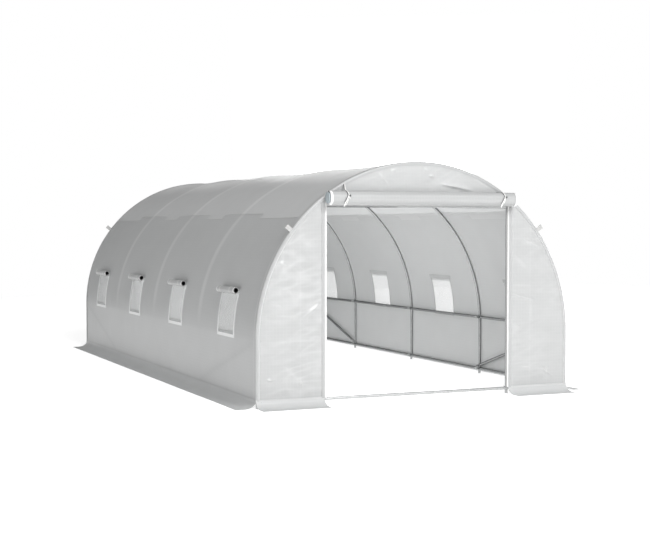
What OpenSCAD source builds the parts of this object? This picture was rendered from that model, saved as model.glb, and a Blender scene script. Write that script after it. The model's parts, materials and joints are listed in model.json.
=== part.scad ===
// Walk-in polytunnel greenhouse: a galvanised tube frame under a woven polyethylene cover.
// The tunnel runs along Y with its door at -Y. Z is up, and the ground is Z = 0.
// The origin is on the ground at the middle of the floor. All sizes are in millimetres.

/* [Tunnel] */
// Width over the cover
tunnel_width = 3000; // [2800:20:3400]
// Length over the end panels
tunnel_length = 6000; // [5200:100:7600]
// Height of the straight legs, from the ground to the start of the arch
leg_height = 540; // [480:5:640]

/* [Frame] */
// Outside diameter of the frame tubes
tube_d = 25; // [20:0.5:32]
// Height of the base rails and sills, to the middle of the tube
base_rail_height = 52; // [40:1:90]
// Height of the side rails over the start of the arch, to the middle of the tube
side_rail_rise = 34; // [0:2:90]
// Distance along each brace's hoop from its bolt to the bolt of the nearest rail
brace_offset = 27; // [26:1:60]
// Length of the flattened end of a rail or brace, from its bolt to the pressed part
flat_length = 16; // [12:1:30]
// Thickness of a flattened end
flat_t = 3; // [2:0.5:5]
// Length over which a tube is pressed from round to flat
press_length = 34; // [20:1:60]
// How far the header tube shows below the gable sheet
header_reveal = 8; // [2:0.5:16]
// Length of the header past each door post
header_overhang = 20; // [5:1:30]
// How far each door post shows past the edge of its panel
post_reveal = 9; // [8:0.5:20]

/* [Cover] */
// Thickness of the cover sheet
cover_t = 3; // [2:0.5:5]
// Angle up the arch of the seam between side sheet and roof sheet
seam_angle = 43; // [36:1:50]
// Rise of the stepped seam beside each inner hoop, along the sheet
seam_step = 57; // [30:1:80]
// Length of the raised part of the seam beside each inner hoop
seam_rise_length = 1050; // [700:10:1200]

/* [Door] */
// Width of the doorway between the front panels
door_width = 1780; // [1600:10:1840]
// Drop from the edge of the arch to the top corners of the doorway
corner_drop = 92; // [60:2:140]
// Diameter of the rolled-up door sheet
door_roll_d = 132; // [100:2:160]
// Number of turns in the rolled door
door_roll_turns = 4; // [2:1:5]
// Length of the rolled door past each side of the doorway
door_roll_overhang = 15; // [10:5:60]
// Distance of each tie from the side of the doorway
tie_inset = 125; // [60:5:400]
// Width of the tie tape
tie_width = 16; // [10:1:30]
// Thickness of the tie tape
tie_t = 2; // [1:0.5:3]

/* [Windows] */
// Width of each window opening
window_width = 400; // [320:10:500]
// Height of each window opening, along the curve of the sheet
window_height = 400; // [300:5:480]
// Thickness of the insect screen
screen_t = 1.5; // [1:0.1:2]
// Width of the rolled-up window flap
flap_width = 440; // [360:10:640]
// Diameter of the rolled-up window flap
flap_roll_d = 62; // [44:2:76]
// Number of turns in the rolled flap
flap_roll_turns = 2; // [1:1:3]

/* [Rolls] */
// Gap between the layers of a rolled sheet
roll_layer_gap = 1.75; // [0.5:0.25:3]

/* [Skirt] */
// Radius of the bend from the wall to the ground
skirt_radius = 58; // [25:1:80]
// Reach of the skirts past the inside of the sheet above
skirt_reach = 178; // [110:1:300]

/* [Guy straps] */
// Angle up the arch of each guy strap
strap_angle = 38; // [30:1:60]
// Width of the webbing
strap_width = 40; // [20:1:50]
// Length that stands out from the cover
strap_length = 60; // [40:1:90]

/* [Hidden] */

$fn = 96;
arch_fn = 240;
eps = 1;

// Clearance between a piece and its seat
seat_gap = 0.3;
tube_r = tube_d / 2;
bay_count = 4;

// Arch: the outside of the cover, its inside, and the axis of the hoop tubes
cover_r = tunnel_width / 2;
cover_in_r = cover_r - cover_t;
hoop_r = cover_in_r - seat_gap - tube_r;
hoop_in_r = hoop_r - tube_r;

// Ends of the cover, between the inside faces of the end panels
end_y = tunnel_length / 2;
inner_end_y = end_y - cover_t;
hoop_end_y = inner_end_y - seat_gap - tube_r;
bay_length = 2 * hoop_end_y / bay_count;

// Rails and braces are bolted to the inside of the hoops by their flattened ends
tube_step = tube_d + seat_gap;
bolt_r = hoop_in_r - seat_gap - flat_t / 2;
flat_step = flat_t + seat_gap;
side_rail_angle = asin(side_rail_rise / bolt_r);

// Doorway and end frames: header and sill in the plane of the hoop, posts behind them
door_top = arch_height(door_width / 2, cover_r) - corner_drop;
header_height = door_top + tube_r - header_reveal;
post_x = door_width / 2 - post_reveal + tube_r;
header_half = post_x + tube_r + header_overhang;
post_top = arch_height(post_x + tube_r, cover_in_r) - seat_gap;
post_y = hoop_end_y - tube_step;

// Angles up the arch, in degrees
deg_per_mm = 180 / (PI * cover_r);
window_angle = window_height * deg_per_mm;
gap_angle = seat_gap * deg_per_mm;
high_seam_angle = seam_angle + seam_step * deg_per_mm;

// Rolled sheets stand off by the tape that ties them
tie_stand = tie_t + 2 * seat_gap;
door_roll_r = door_roll_d / 2;
door_roll_y = -end_y - door_roll_r - tie_stand;
door_roll_height = door_top + door_roll_r;
door_roll_half = door_width / 2 + door_roll_overhang;
flap_roll_r = flap_roll_d / 2;
skirt_rise = skirt_radius + cover_t;

sheet_white = "whitesmoke";
steel_grey = "silver";

function hoop_y(i) = -hoop_end_y + i * bay_length;
function bay_y(i) = hoop_y(i) + bay_length / 2;

// Stretch of each bay where the roof sheet comes down to the lower seam
function seam_drop_from(i) = i == 0 ? -inner_end_y : hoop_y(i) + seam_rise_length / 2;
function seam_drop_to(i) = i == bay_count - 1 ? inner_end_y : hoop_y(i + 1) - seam_rise_length / 2;

// Distance that the tube of each bay lies inside the first layer of flattened ends
function flat_layer(i) = (i % 2) * flat_step;

// Height over the ground of an arch of radius r, at a distance x from the middle plane
function arch_height(x, r) = leg_height + sqrt(pow(r, 2) - pow(x, 2));

// Point of a wound sheet's section, where the winding has turned through an angle
function wound_point(angle, start_r, pitch) = (start_r + pitch * angle / 360) * [cos(angle), sin(angle)];

// Mirrors a left-hand piece to the right
module on_side(side) {
    mirror([side == "right" ? 1 : 0, 0, 0]) children();
}

// A 2D outline in X and Z, drawn out along Y
module along_y(from, to) {
    translate([0, to, 0])
        rotate([90, 0, 0])
            linear_extrude(height = to - from)
                children();
}

// A tube along Y from bolt to bolt, pressed flat at both ends against a face at +X
module flat_ended_tube(length) {
    press_end = flat_length + press_length;
    intersection() {
        translate([0, flat_length / 2, 0])
            rotate([-90, 0, 0])
                cylinder(d = tube_d, h = length - flat_length);
        translate([0, 0, -tube_d])
            linear_extrude(height = 2 * tube_d)
                polygon([
                    [-flat_t / 2, 0],
                    [flat_t / 2, 0],
                    [flat_t / 2, flat_length],
                    [tube_r, press_end],
                    [tube_r, length - press_end],
                    [flat_t / 2, length - flat_length],
                    [flat_t / 2, length],
                    [-flat_t / 2, length],
                    [-flat_t / 2, length - flat_length],
                    [-tube_r, length - press_end],
                    [-tube_r, press_end],
                    [-flat_t / 2, flat_length]
                ]);
    }
    for (y = [0, length])
        translate([-flat_t / 2, y, 0])
            rotate([0, 90, 0])
                cylinder(r = tube_r, h = flat_t);
}

// A row of tubes along Y on the left, one to a bay, whose flat ends overlap at the hoops
module bay_tubes() {
    for (i = [0 : bay_count - 1])
        translate([-bolt_r + flat_layer(i), hoop_y(i), 0])
            flat_ended_tube(bay_length);
}

// A tube along X
module tube_x(y, z, half) {
    translate([-half, y, z])
        rotate([0, 90, 0])
            cylinder(d = tube_d, h = 2 * half);
}

// Part of a ring about the middle of the arch on the left, between two angles from the spring line
module ring_sector(r_in, r_out, low, high) {
    reach = 2 * r_out;
    translate([0, leg_height])
        intersection() {
            difference() {
                circle(r = r_out, $fn = arch_fn);
                circle(r = r_in, $fn = arch_fn);
            }
            polygon([
                [0, 0],
                reach * [-cos(low), sin(low)],
                reach * [-cos(high), sin(high)]
            ]);
        }
}

// A curved band of the left-hand cover
module cover_band(low, high, from, to, r_in = cover_in_r, r_out = cover_r) {
    along_y(from, to) ring_sector(r_in, r_out, low, high);
}

// Bent tube of one hoop, from spring line to spring line
module hoop_arch(i) {
    color(steel_grey)
        translate([0, hoop_y(i), leg_height])
            rotate([90, 0, 0])
                rotate_extrude(angle = 180, $fn = arch_fn)
                    translate([hoop_r, 0])
                        circle(d = tube_d, $fn = 48);
}

// Straight legs of all hoops on one side
module hoop_legs(side) {
    color(steel_grey)
        on_side(side)
            for (i = [0 : bay_count])
                translate([-hoop_r, hoop_y(i), 0])
                    cylinder(d = tube_d, h = leg_height);
}

// Rail along one side by the ground
module base_rail(side) {
    color(steel_grey)
        on_side(side)
            translate([0, 0, base_rail_height])
                bay_tubes();
}

// Rail along one side a little over the start of the arch
module side_rail(side) {
    color(steel_grey)
        on_side(side)
            translate([0, 0, leg_height])
                rotate([0, side_rail_angle, 0])
                    bay_tubes();
}

// Rail under the top of the hoops
module ridge_rail() {
    color(steel_grey)
        translate([0, 0, leg_height])
            rotate([0, 90, 0])
                bay_tubes();
}

// Tube across one end at the ground, between the flattened ends of the base rails
module sill(end) {
    half = bolt_r - flat_layer(end < 0 ? 0 : bay_count - 1) - flat_t / 2 - seat_gap;
    color(steel_grey)
        tube_x(end * hoop_end_y, base_rail_height, half);
}

// Diagonal tubes of one side, each from the foot of an inner hoop up to the end hoop
module braces(side) {
    high = leg_height + side_rail_rise - brace_offset;
    low = base_rail_height + brace_offset;
    slope = atan2(high - low, bay_length);
    color(steel_grey)
        on_side(side)
            for (end = [0, 1])
                mirror([0, end, 0])
                    translate([-bolt_r, hoop_y(0), high])
                        rotate([-slope, 0, 0])
                            flat_ended_tube(norm([bay_length, high - low]));
}

// Upright of an end frame
module end_post(side, end) {
    color(steel_grey)
        on_side(side)
            translate([-post_x, end * post_y, 0])
                cylinder(d = tube_d, h = post_top);
}

// Tube across an end frame, over the door
module header(end) {
    color(steel_grey)
        tube_x(end * hoop_end_y, header_height, header_half);
}

// Flat wall of one side, from the skirt to the spring line
module lower_wall(side) {
    color(sheet_white)
        on_side(side)
            translate([-cover_r, -inner_end_y, skirt_rise])
                cube([cover_t, 2 * inner_end_y, leg_height - skirt_rise]);
}

// Sheet beside the windows of one side, one solid for each stretch between them
module window_wall(side) {
    half = window_width / 2;
    color(sheet_white)
        on_side(side)
            for (i = [0 : bay_count]) {
                from = i == 0 ? -inner_end_y : bay_y(i - 1) + half;
                to = i == bay_count ? inner_end_y : bay_y(i) - half;
                cover_band(0, window_angle, from, to);
            }
}

// Stretches of a side sheet that rise past the lower seam, one beside each inner hoop
module seam_rises(low, high) {
    half = seam_rise_length / 2;
    for (i = [1 : bay_count - 1])
        cover_band(low, high, hoop_y(i) - half, hoop_y(i) + half);
}

// Sheet from the window heads to the stepped seam
module shoulder(side) {
    color(sheet_white)
        on_side(side)
            union() {
                cover_band(window_angle, seam_angle, -inner_end_y, inner_end_y);
                seam_rises(seam_angle - 1, high_seam_angle);
            }
}

// Half of the roof sheet, from the stepped seam to the ridge
module roof(side) {
    color(sheet_white)
        on_side(side)
            union() {
                cover_band(high_seam_angle, 90, -inner_end_y, inner_end_y);
                for (i = [0 : bay_count - 1])
                    cover_band(seam_angle, high_seam_angle + 1, seam_drop_from(i), seam_drop_to(i));
            }
}

// Outline of the tunnel's end above the skirt
module end_outline() {
    translate([-cover_r, skirt_rise])
        square([tunnel_width, leg_height - skirt_rise]);
    intersection() {
        translate([0, leg_height])
            circle(r = cover_r, $fn = arch_fn);
        translate([-cover_r, leg_height - eps])
            square([tunnel_width, cover_r + 2 * eps]);
    }
}

// Front sheet beside the doorway
module front_panel(side) {
    color(sheet_white)
        on_side(side)
            along_y(-end_y, -inner_end_y)
                intersection() {
                    end_outline();
                    translate([-cover_r, 0])
                        square([cover_r - door_width / 2, leg_height + cover_r + eps]);
                }
}

// Front sheet over the doorway
module front_gable() {
    color(sheet_white)
        along_y(-end_y, -inner_end_y)
            intersection() {
                end_outline();
                translate([-door_width / 2, door_top])
                    square([door_width, leg_height + cover_r + eps - door_top]);
            }
}

// Closed sheet of the far end
module rear_wall() {
    color(sheet_white)
        along_y(inner_end_y, end_y)
            end_outline();
}

// Section of a skirt: a quarter bend from the wall to the ground, then a flat flap
module skirt_section(reach) {
    translate([skirt_rise, skirt_rise])
        intersection() {
            difference() {
                circle(r = skirt_rise);
                circle(r = skirt_radius);
            }
            translate([-skirt_rise, -skirt_rise])
                square(skirt_rise);
        }
    translate([skirt_rise, 0])
        square([reach - skirt_rise, cover_t]);
}

// Skirt along one side
module side_skirt(side) {
    color(sheet_white)
        on_side(side)
            along_y(-inner_end_y, inner_end_y)
                translate([-cover_in_r, 0])
                    mirror([1, 0])
                        skirt_section(skirt_reach);
}

// Skirt along one end, over part of its width
module end_skirt(end, from, to) {
    color(sheet_white)
        translate([from, end * inner_end_y, 0])
            mirror([0, end < 0 ? 1 : 0, 0])
                rotate([90, 0, 90])
                    linear_extrude(height = to - from)
                        skirt_section(skirt_reach);
}

// Insect screens that close the windows of one side
module window_screens(side) {
    half = window_width / 2 - seat_gap;
    screen_in_r = cover_in_r + (cover_t - screen_t) / 2;
    color("lightgray")
        on_side(side)
            for (i = [0 : bay_count - 1])
                cover_band(gap_angle, window_angle - gap_angle, bay_y(i) - half, bay_y(i) + half,
                           screen_in_r, screen_in_r + screen_t);
}

// Section of a sheet wound into a roll, with its free edge along +X
module wound_section(roll_d, turns) {
    pitch = cover_t + roll_layer_gap;
    start_r = roll_d / 2 - cover_t - turns * pitch;
    turn_step = 15;
    angles = [0 : turn_step : 360 * turns];
    polygon(concat(
        [for (a = angles) wound_point(a, start_r + cover_t, pitch)],
        [for (a = angles) wound_point(360 * turns - a, start_r, pitch)]
    ));
}

// Rolled-up window flaps of one side, at the heads of the windows
module flap_rolls(side) {
    roll_r = cover_r + seat_gap + flap_roll_r;
    color("white")
        on_side(side)
            for (i = [0 : bay_count - 1])
                translate([0, bay_y(i) + flap_width / 2, leg_height])
                    rotate([0, window_angle, 0])
                        translate([-roll_r, 0, 0])
                            rotate([90, 0, 0])
                                linear_extrude(height = flap_width)
                                    wound_section(flap_roll_d, flap_roll_turns);
}

// Rolled-up door sheet, wound with its free edge towards the gable
module door_roll() {
    color("white")
        translate([-door_roll_half, door_roll_y, door_roll_height])
            rotate([90, 0, 90])
                linear_extrude(height = 2 * door_roll_half)
                    wound_section(door_roll_d, door_roll_turns);
}

// Tape loops that hold the rolled door against the gable
module door_ties() {
    loop_r = door_roll_r + seat_gap;
    color("white")
        for (side = [-1, 1])
            translate([
                side * (door_width / 2 - tie_inset) - tie_width / 2,
                door_roll_y,
                door_roll_height
            ])
                rotate([0, 90, 0])
                    difference() {
                        cylinder(r = loop_r + tie_t, h = tie_width);
                        translate([0, 0, -eps])
                            cylinder(r = loop_r, h = tie_width + 2 * eps);
                    }
}

// Flat webbing loops sewn into the end seams for guy lines
module guy_straps() {
    color("white")
        for (side = ["left", "right"])
            for (end = [-1, 1])
                on_side(side)
                    translate([0, end * (end_y - cover_t / 2), leg_height])
                        rotate([0, strap_angle, 0])
                            translate([-cover_r - seat_gap - strap_length, -cover_t / 2, -strap_width / 2])
                                cube([strap_length, cover_t, strap_width]);
}

hoop_arch(0);  // front_hoop
hoop_arch(1);  // second_hoop
hoop_arch(2);  // middle_hoop
hoop_arch(3);  // fourth_hoop
hoop_arch(4);  // rear_hoop
hoop_legs("left");  // left_hoop_legs
hoop_legs("right");  // right_hoop_legs
base_rail("left");  // left_base_rail
base_rail("right");  // right_base_rail
side_rail("left");  // left_side_rail
side_rail("right");  // right_side_rail
ridge_rail();
sill(-1);  // front_sill
sill(1);  // rear_sill
braces("left");  // left_braces
braces("right");  // right_braces
end_post("left", -1);  // left_door_post
end_post("right", -1);  // right_door_post
header(-1);  // door_header
union() {  // rear_posts
    end_post("left", 1);
    end_post("right", 1);
}
header(1);  // rear_header
lower_wall("left");  // left_lower_wall
lower_wall("right");  // right_lower_wall
window_wall("left");  // left_window_wall
window_wall("right");  // right_window_wall
shoulder("left");  // left_shoulder
shoulder("right");  // right_shoulder
roof("left");  // left_roof
roof("right");  // right_roof
front_panel("left");  // front_left_panel
front_panel("right");  // front_right_panel
front_gable();
rear_wall();
side_skirt("left");  // left_skirt
side_skirt("right");  // right_skirt
end_skirt(-1, -cover_r, -door_width / 2);  // front_left_skirt
end_skirt(-1, door_width / 2, cover_r);  // front_right_skirt
end_skirt(1, -cover_r, cover_r);  // rear_skirt
window_screens("left");  // left_window_screens
window_screens("right");  // right_window_screens
flap_rolls("left");  // left_flap_rolls
flap_rolls("right");  // right_flap_rolls
door_roll();
door_ties();
guy_straps();
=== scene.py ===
"""Looks of a walk-in garden tunnel.

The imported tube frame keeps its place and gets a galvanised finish. The cover, end sheets, skirts, screens,
window flaps and door are cut flat, as the real sheets are, and are then hung on the frame or rolled up.
Lengths are in metres and angles in radians. X is to the right, Y away from the door, Z up.
"""

import json
import logging
import math
from collections.abc import Callable, Iterable
from dataclasses import dataclass, field
from enum import Enum

import bmesh
import bpy
from bmesh.types import BMesh, BMVert
from bpy.types import Material, Node, NodeSocket, NodeTree, Object
from mathutils import Matrix, Vector, noise


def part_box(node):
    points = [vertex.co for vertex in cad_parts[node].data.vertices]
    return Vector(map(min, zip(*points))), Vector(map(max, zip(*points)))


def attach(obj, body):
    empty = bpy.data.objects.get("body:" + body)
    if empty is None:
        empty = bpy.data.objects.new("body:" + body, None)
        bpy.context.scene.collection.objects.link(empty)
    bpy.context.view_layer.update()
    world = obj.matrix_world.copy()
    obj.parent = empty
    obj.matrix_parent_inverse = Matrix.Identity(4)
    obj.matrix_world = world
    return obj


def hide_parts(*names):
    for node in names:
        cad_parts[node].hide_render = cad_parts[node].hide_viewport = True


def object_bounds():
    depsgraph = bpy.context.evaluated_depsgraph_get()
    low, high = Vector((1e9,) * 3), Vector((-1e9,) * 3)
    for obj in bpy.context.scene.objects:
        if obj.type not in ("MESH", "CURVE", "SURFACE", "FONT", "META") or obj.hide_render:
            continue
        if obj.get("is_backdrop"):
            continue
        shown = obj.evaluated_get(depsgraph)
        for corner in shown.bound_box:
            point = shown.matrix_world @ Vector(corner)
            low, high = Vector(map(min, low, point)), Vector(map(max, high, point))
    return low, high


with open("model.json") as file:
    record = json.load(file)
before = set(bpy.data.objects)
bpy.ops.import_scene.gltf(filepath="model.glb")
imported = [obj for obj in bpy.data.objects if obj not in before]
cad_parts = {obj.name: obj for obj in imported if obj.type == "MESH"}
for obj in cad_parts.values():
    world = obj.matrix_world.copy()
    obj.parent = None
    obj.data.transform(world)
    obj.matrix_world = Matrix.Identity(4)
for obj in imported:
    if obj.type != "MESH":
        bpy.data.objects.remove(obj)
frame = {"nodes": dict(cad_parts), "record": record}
cad_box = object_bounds()

log = logging.getLogger("garden_tunnel")

MM = 0.001
BODY = "root"
# Edges that turn by more than this stay sharp.
SHARP_EDGE = math.radians(50)
# The real sheet is about 0.2 mm thick. It is drawn thicker, so that its edges and laps show.
SHEET_T = 1.2 * MM
# Gap between two sheets that lie on each other.
LAYER_GAP = 0.3 * MM
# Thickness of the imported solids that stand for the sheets.
PACKED_T = 3 * MM
# How far a side sheet sags inwards half way between two hoops.
WALL_SAG = 3 * MM

# Where a point of the cutting table goes, and how much of something it has.
Place = Callable[[float, float], Vector]
Amount = Callable[[float, float], float]
# The middle of a tape and the direction across it, at a distance along it.
Path = Callable[[float], tuple[Vector, Vector]]
# The ends of a range, and a colour that is given or comes from a socket.
Span = tuple[float, float]
UNIT = (0.0, 1.0)
Tone = NodeSocket | tuple[float, float, float, float]


class Named(Enum):
    """A choice whose name stands in the names of pieces."""

    @property
    def label(self) -> str:
        """The choice's name in small letters."""
        return self.name.lower()


class Side(Named):
    """The two long sides, with the sign of X."""

    LEFT = -1
    RIGHT = 1

    def axes(self, lean: float) -> tuple[Vector, Vector]:
        """Return the directions out from the arch and up along it, at an angle up the arch."""
        out = Vector((self.value * math.cos(lean), 0, math.sin(lean)))
        return out, Vector((-self.value * math.sin(lean), 0, math.cos(lean)))


class End(Named):
    """The two ends, with the sign of Y."""

    FRONT = -1
    REAR = 1


class Slot(Enum):
    """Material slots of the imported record."""

    TUBE = "galvanised_tube"
    COVER = "cover_sheet"
    SCREEN = "insect_screen"
    WEBBING = "webbing"


# Finishes

def linear(hex_colour: str) -> tuple[float, float, float, float]:
    """Turn an sRGB hex value into a linear colour.

    Args:
        hex_colour: six hex digits.

    Returns:
        Red, green, blue and a full alpha.
    """
    shares = [int(hex_colour[i:i + 2], 16) / 255 for i in (0, 2, 4)]
    red, green, blue = (s / 12.92 if s <= 0.04045 else ((s + 0.055) / 1.055) ** 2.4 for s in shares)
    return red, green, blue, 1.0


def add_node(tree: NodeTree, kind: str, feeds: dict | None = None, **settings: object) -> Node:
    """Add one node with its settings and links.

    Args:
        tree: node tree that gets the node.
        kind: Blender's name for the shader node, without its first two words.
        feeds: for each input, by name or number, the socket or the value that feeds it.
        settings: attributes of the node itself.

    Returns:
        The new node.
    """
    node = tree.nodes.new(f"ShaderNode{kind}")
    for name, value in settings.items():
        setattr(node, name, value)
    for key, value in (feeds or {}).items():
        if isinstance(value, NodeSocket):
            tree.links.new(value, node.inputs[key])
        else:
            node.inputs[key].default_value = value
    return node


def remap(tree: NodeTree, value: NodeSocket, start: Span = UNIT, stop: Span = UNIT) -> NodeSocket:
    """Return the socket of a value that is brought from one range to another, and held in it."""
    ends = {"From Min": start[0], "From Max": start[1], "To Min": stop[0], "To Max": stop[1]}
    return add_node(tree, "MapRange", {"Value": value, **ends}).outputs["Result"]


def mix(tree: NodeTree, share: NodeSocket, first: Tone, second: Tone, clamp: bool = True) -> NodeSocket:
    """Return the socket of a colour that goes from one to another with a share."""
    feeds = {"Factor": share, "A": first, "B": second}
    return add_node(tree, "Mix", feeds, data_type="RGBA", clamp_factor=clamp).outputs["Result"]


def blend(tree: NodeTree, share: NodeSocket | float, first: Node, second: Node) -> Node:
    """Return the blend of two shaders: all the first at a share of 0, all the second at 1."""
    return add_node(tree, "MixShader", {0: share, 1: first.outputs[0], 2: second.outputs[0]})


def square_grid(tree: NodeTree, flat: NodeSocket, pitch: float, line: float, soft: float) -> NodeSocket:
    """Return the socket of a square grid on a flat cut, which is 1 on its lines."""
    sizes = {"Mortar Size": line, "Mortar Smooth": soft, "Brick Width": pitch, "Row Height": pitch}
    return add_node(tree, "TexBrick", {"Vector": flat, "Scale": 1.0, **sizes}, offset=0.0).outputs["Fac"]


class Finish:
    """A surface finish that makes its material the first time it is asked for."""

    name: str

    def shade(self, tree: NodeTree) -> NodeSocket:
        """Build the shader and return the socket that the output shows."""
        raise NotImplementedError

    def material(self) -> Material:
        """Make the finish's material, or find it where it was made before.

        Returns:
            The material.
        """
        known = bpy.data.materials.get(self.name)
        if known:
            return known
        material = bpy.data.materials.new(self.name)
        material.use_nodes = True
        tree = material.node_tree
        tree.nodes.clear()
        add_node(tree, "OutputMaterial", {"Surface": self.shade(tree)})
        return material


@dataclass(frozen=True)
class WovenPolyethylene(Finish):
    """Polyethylene sheet, woven from flat tapes and coated: milky, a little glossy, pale along its folds.

    Light goes through it, so what lies behind shows as a soft shadow. The coating gathers in faint clouds,
    and reinforcing tapes cross it as a fine grid. Painted highlights and painted shade, which some pieces
    carry in their pale attribute, take it towards its fold tone or away from it.
    """

    name: str
    tone: str = "CCCDCD"
    cloud_tone: str = "CACBCB"
    fold_tone: str = "F4F4F4"
    passes: float = 0.34
    sheer: float = 0.0
    roughness: float = 0.32
    cloud: float = 240 * MM
    # The real grid is 10 mm. It is drawn three times as coarse, because a pixel of the render is 10 mm.
    grid: float = 30 * MM
    grid_line: float = 3.2 * MM
    grid_pale: float = 0.045
    grid_height: float = 0.1 * MM
    # Share of the grid's height that the bump shows, and how far the clouds change the roughness.
    relief: float = 0.25
    gloss_spread: float = 0.03

    def shade(self, tree: NodeTree) -> NodeSocket:
        """Build the sheet's shader on the flat cut of each piece.

        Args:
            tree: node tree of the material.

        Returns:
            The socket that the material's output shows.
        """
        flat = add_node(tree, "UVMap", uv_map="cut").outputs["UV"]
        clouds = add_node(tree, "TexNoise", {"Vector": flat, "Scale": 1 / self.cloud, "Detail": 3.0})
        cloudy = clouds.outputs["Fac"]
        grid = square_grid(tree, flat, self.grid, self.grid_line, 0.6)
        # The pale attribute holds the sheet's folds together with painted highlights, painted lightening and
        # painted shade.
        folds = add_node(tree, "Attribute", attribute_name="pale").outputs["Fac"]
        pale = add_node(tree, "Math", {0: grid, 1: self.grid_pale, 2: folds}, operation="MULTIPLY_ADD")
        milk = mix(tree, remap(tree, cloudy, (0.3, 0.7)), linear(self.tone), linear(self.cloud_tone))
        colour = mix(tree, pale.outputs[0], milk, linear(self.fold_tone), clamp=False)
        gloss = remap(
            tree, cloudy, stop=(self.roughness - self.gloss_spread, self.roughness + self.gloss_spread)
        )
        relief = add_node(
            tree, "Bump", {"Height": grid, "Strength": self.relief, "Distance": self.grid_height}
        )
        surface = add_node(
            tree, "BsdfPrincipled",
            {"Base Color": colour, "Roughness": gloss, "IOR": 1.5, "Normal": relief.outputs["Normal"]}
        )
        through = add_node(tree, "BsdfTranslucent", {"Color": colour})
        seen = blend(tree, self.passes, surface, through)
        if self.sheer:
            seen = blend(tree, self.sheer, seen, add_node(tree, "BsdfTransparent"))
        return seen.outputs["Shader"]


@dataclass(frozen=True)
class PolyethyleneNet(Finish):
    """Insect screen, knitted from polyethylene: milky threads that glow against the light, and air."""

    name: str = "knitted_polyethylene_net"
    tone: str = "DBDCDC"
    # The real mesh is about 1.5 mm. It is drawn twice as coarse, so that single threads show close up.
    pitch: float = 3.2 * MM
    thread: float = 1.15 * MM
    # One drawn opening stands for several real ones, so the threads between those cover part of it.
    between: float = 0.3
    on_thread: float = 0.68
    passes: float = 0.4
    roughness: float = 0.55

    def shade(self, tree: NodeTree) -> NodeSocket:
        """Build the net's shader on the flat cut of each screen.

        Args:
            tree: node tree of the material.

        Returns:
            The socket that the material's output shows.
        """
        flat = add_node(tree, "UVMap", uv_map="cut").outputs["UV"]
        threads = square_grid(tree, flat, self.pitch, self.thread / 2, 0.2)
        solid = add_node(
            tree, "BsdfPrincipled", {"Base Color": linear(self.tone), "Roughness": self.roughness}
        )
        glow = add_node(tree, "BsdfTranslucent", {"Color": linear(self.tone)})
        thread = blend(tree, self.passes, solid, glow)
        cover = remap(tree, threads, stop=(self.between, self.on_thread))
        return blend(tree, cover, add_node(tree, "BsdfTransparent"), thread).outputs["Shader"]


@dataclass(frozen=True)
class GalvanisedSteel(Finish):
    """Hot-dip galvanised tube: dull zinc with a soft crystal spangle, and painted shade where the tube turns
    away from the view.
    """

    name: str = "galvanised_steel"
    light_tone: str = "CACBCB"
    dark_tone: str = "B0B2B2"
    rim_tone: str = "5A5C5D"
    # Spangle on thin tube is 5 to 10 mm across.
    spangle: float = 9 * MM
    # Dull bloom lies on the zinc in patches of about 70 mm.
    bloom: float = 71.43 * MM
    roughness: float = 0.45

    def shade(self, tree: NodeTree) -> NodeSocket:
        """Build the zinc's shader in the frame of the whole object.

        Args:
            tree: node tree of the material.

        Returns:
            The socket that the material's output shows.
        """
        place = add_node(tree, "TexCoord").outputs["Object"]
        crystals = add_node(tree, "TexVoronoi", {"Vector": place, "Scale": 1 / self.spangle})
        bloom = add_node(tree, "TexNoise", {"Vector": place, "Scale": 1 / self.bloom, "Detail": 4.0})
        shades = add_node(tree, "SeparateColor", {"Color": crystals.outputs["Color"]}).outputs
        mixed = add_node(
            tree, "Math", {0: shades["Red"], 1: 0.5, 2: bloom.outputs["Fac"]}, operation="MULTIPLY_ADD"
        )
        share = remap(tree, mixed.outputs[0], (0.35, 1.15))
        zinc = mix(tree, share, linear(self.light_tone), linear(self.dark_tone))
        gloss = remap(tree, shades["Green"], stop=(self.roughness - 0.08, self.roughness + 0.12))
        # Painted shade: the zinc darkens towards the rim tone where the tube turns away from the view.
        away = add_node(tree, "LayerWeight", {"Blend": 0.5}).outputs["Facing"]
        colour = mix(tree, remap(tree, away, (0.3, 0.8)), zinc, linear(self.rim_tone))
        surface = add_node(
            tree, "BsdfPrincipled", {"Base Color": colour, "Roughness": gloss, "Metallic": 1.0}
        )
        return surface.outputs["BSDF"]


@dataclass(frozen=True)
class PolypropyleneWebbing(Finish):
    """Woven polypropylene tape: matt, with a rib across it."""

    name: str = "polypropylene_webbing"
    tone: str = "EEEEEC"
    groove_tone: str = "D6D6D4"
    # The real rib is 1 mm. It is drawn at 2 mm, so that it shows close up.
    rib: float = 2 * MM
    rib_height: float = 0.5 * MM
    roughness: float = 0.62

    def shade(self, tree: NodeTree) -> NodeSocket:
        """Build the webbing's shader on the flat cut of each strap.

        Args:
            tree: node tree of the material.

        Returns:
            The socket that the material's output shows.
        """
        flat = add_node(tree, "UVMap", uv_map="cut").outputs["UV"]
        ribs = add_node(
            tree, "TexWave", {"Vector": flat, "Scale": math.pi / (10 * self.rib), "Distortion": 0.4},
            bands_direction="Y"
        )
        height = ribs.outputs["Fac"]
        raised = add_node(tree, "Bump", {"Height": height, "Strength": 0.5, "Distance": self.rib_height})
        surface = add_node(
            tree, "BsdfPrincipled",
            {"Base Color": mix(tree, height, linear(self.groove_tone), linear(self.tone)),
             "Roughness": self.roughness, "Normal": raised.outputs["Normal"]}
        )
        return surface.outputs["BSDF"]


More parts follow.
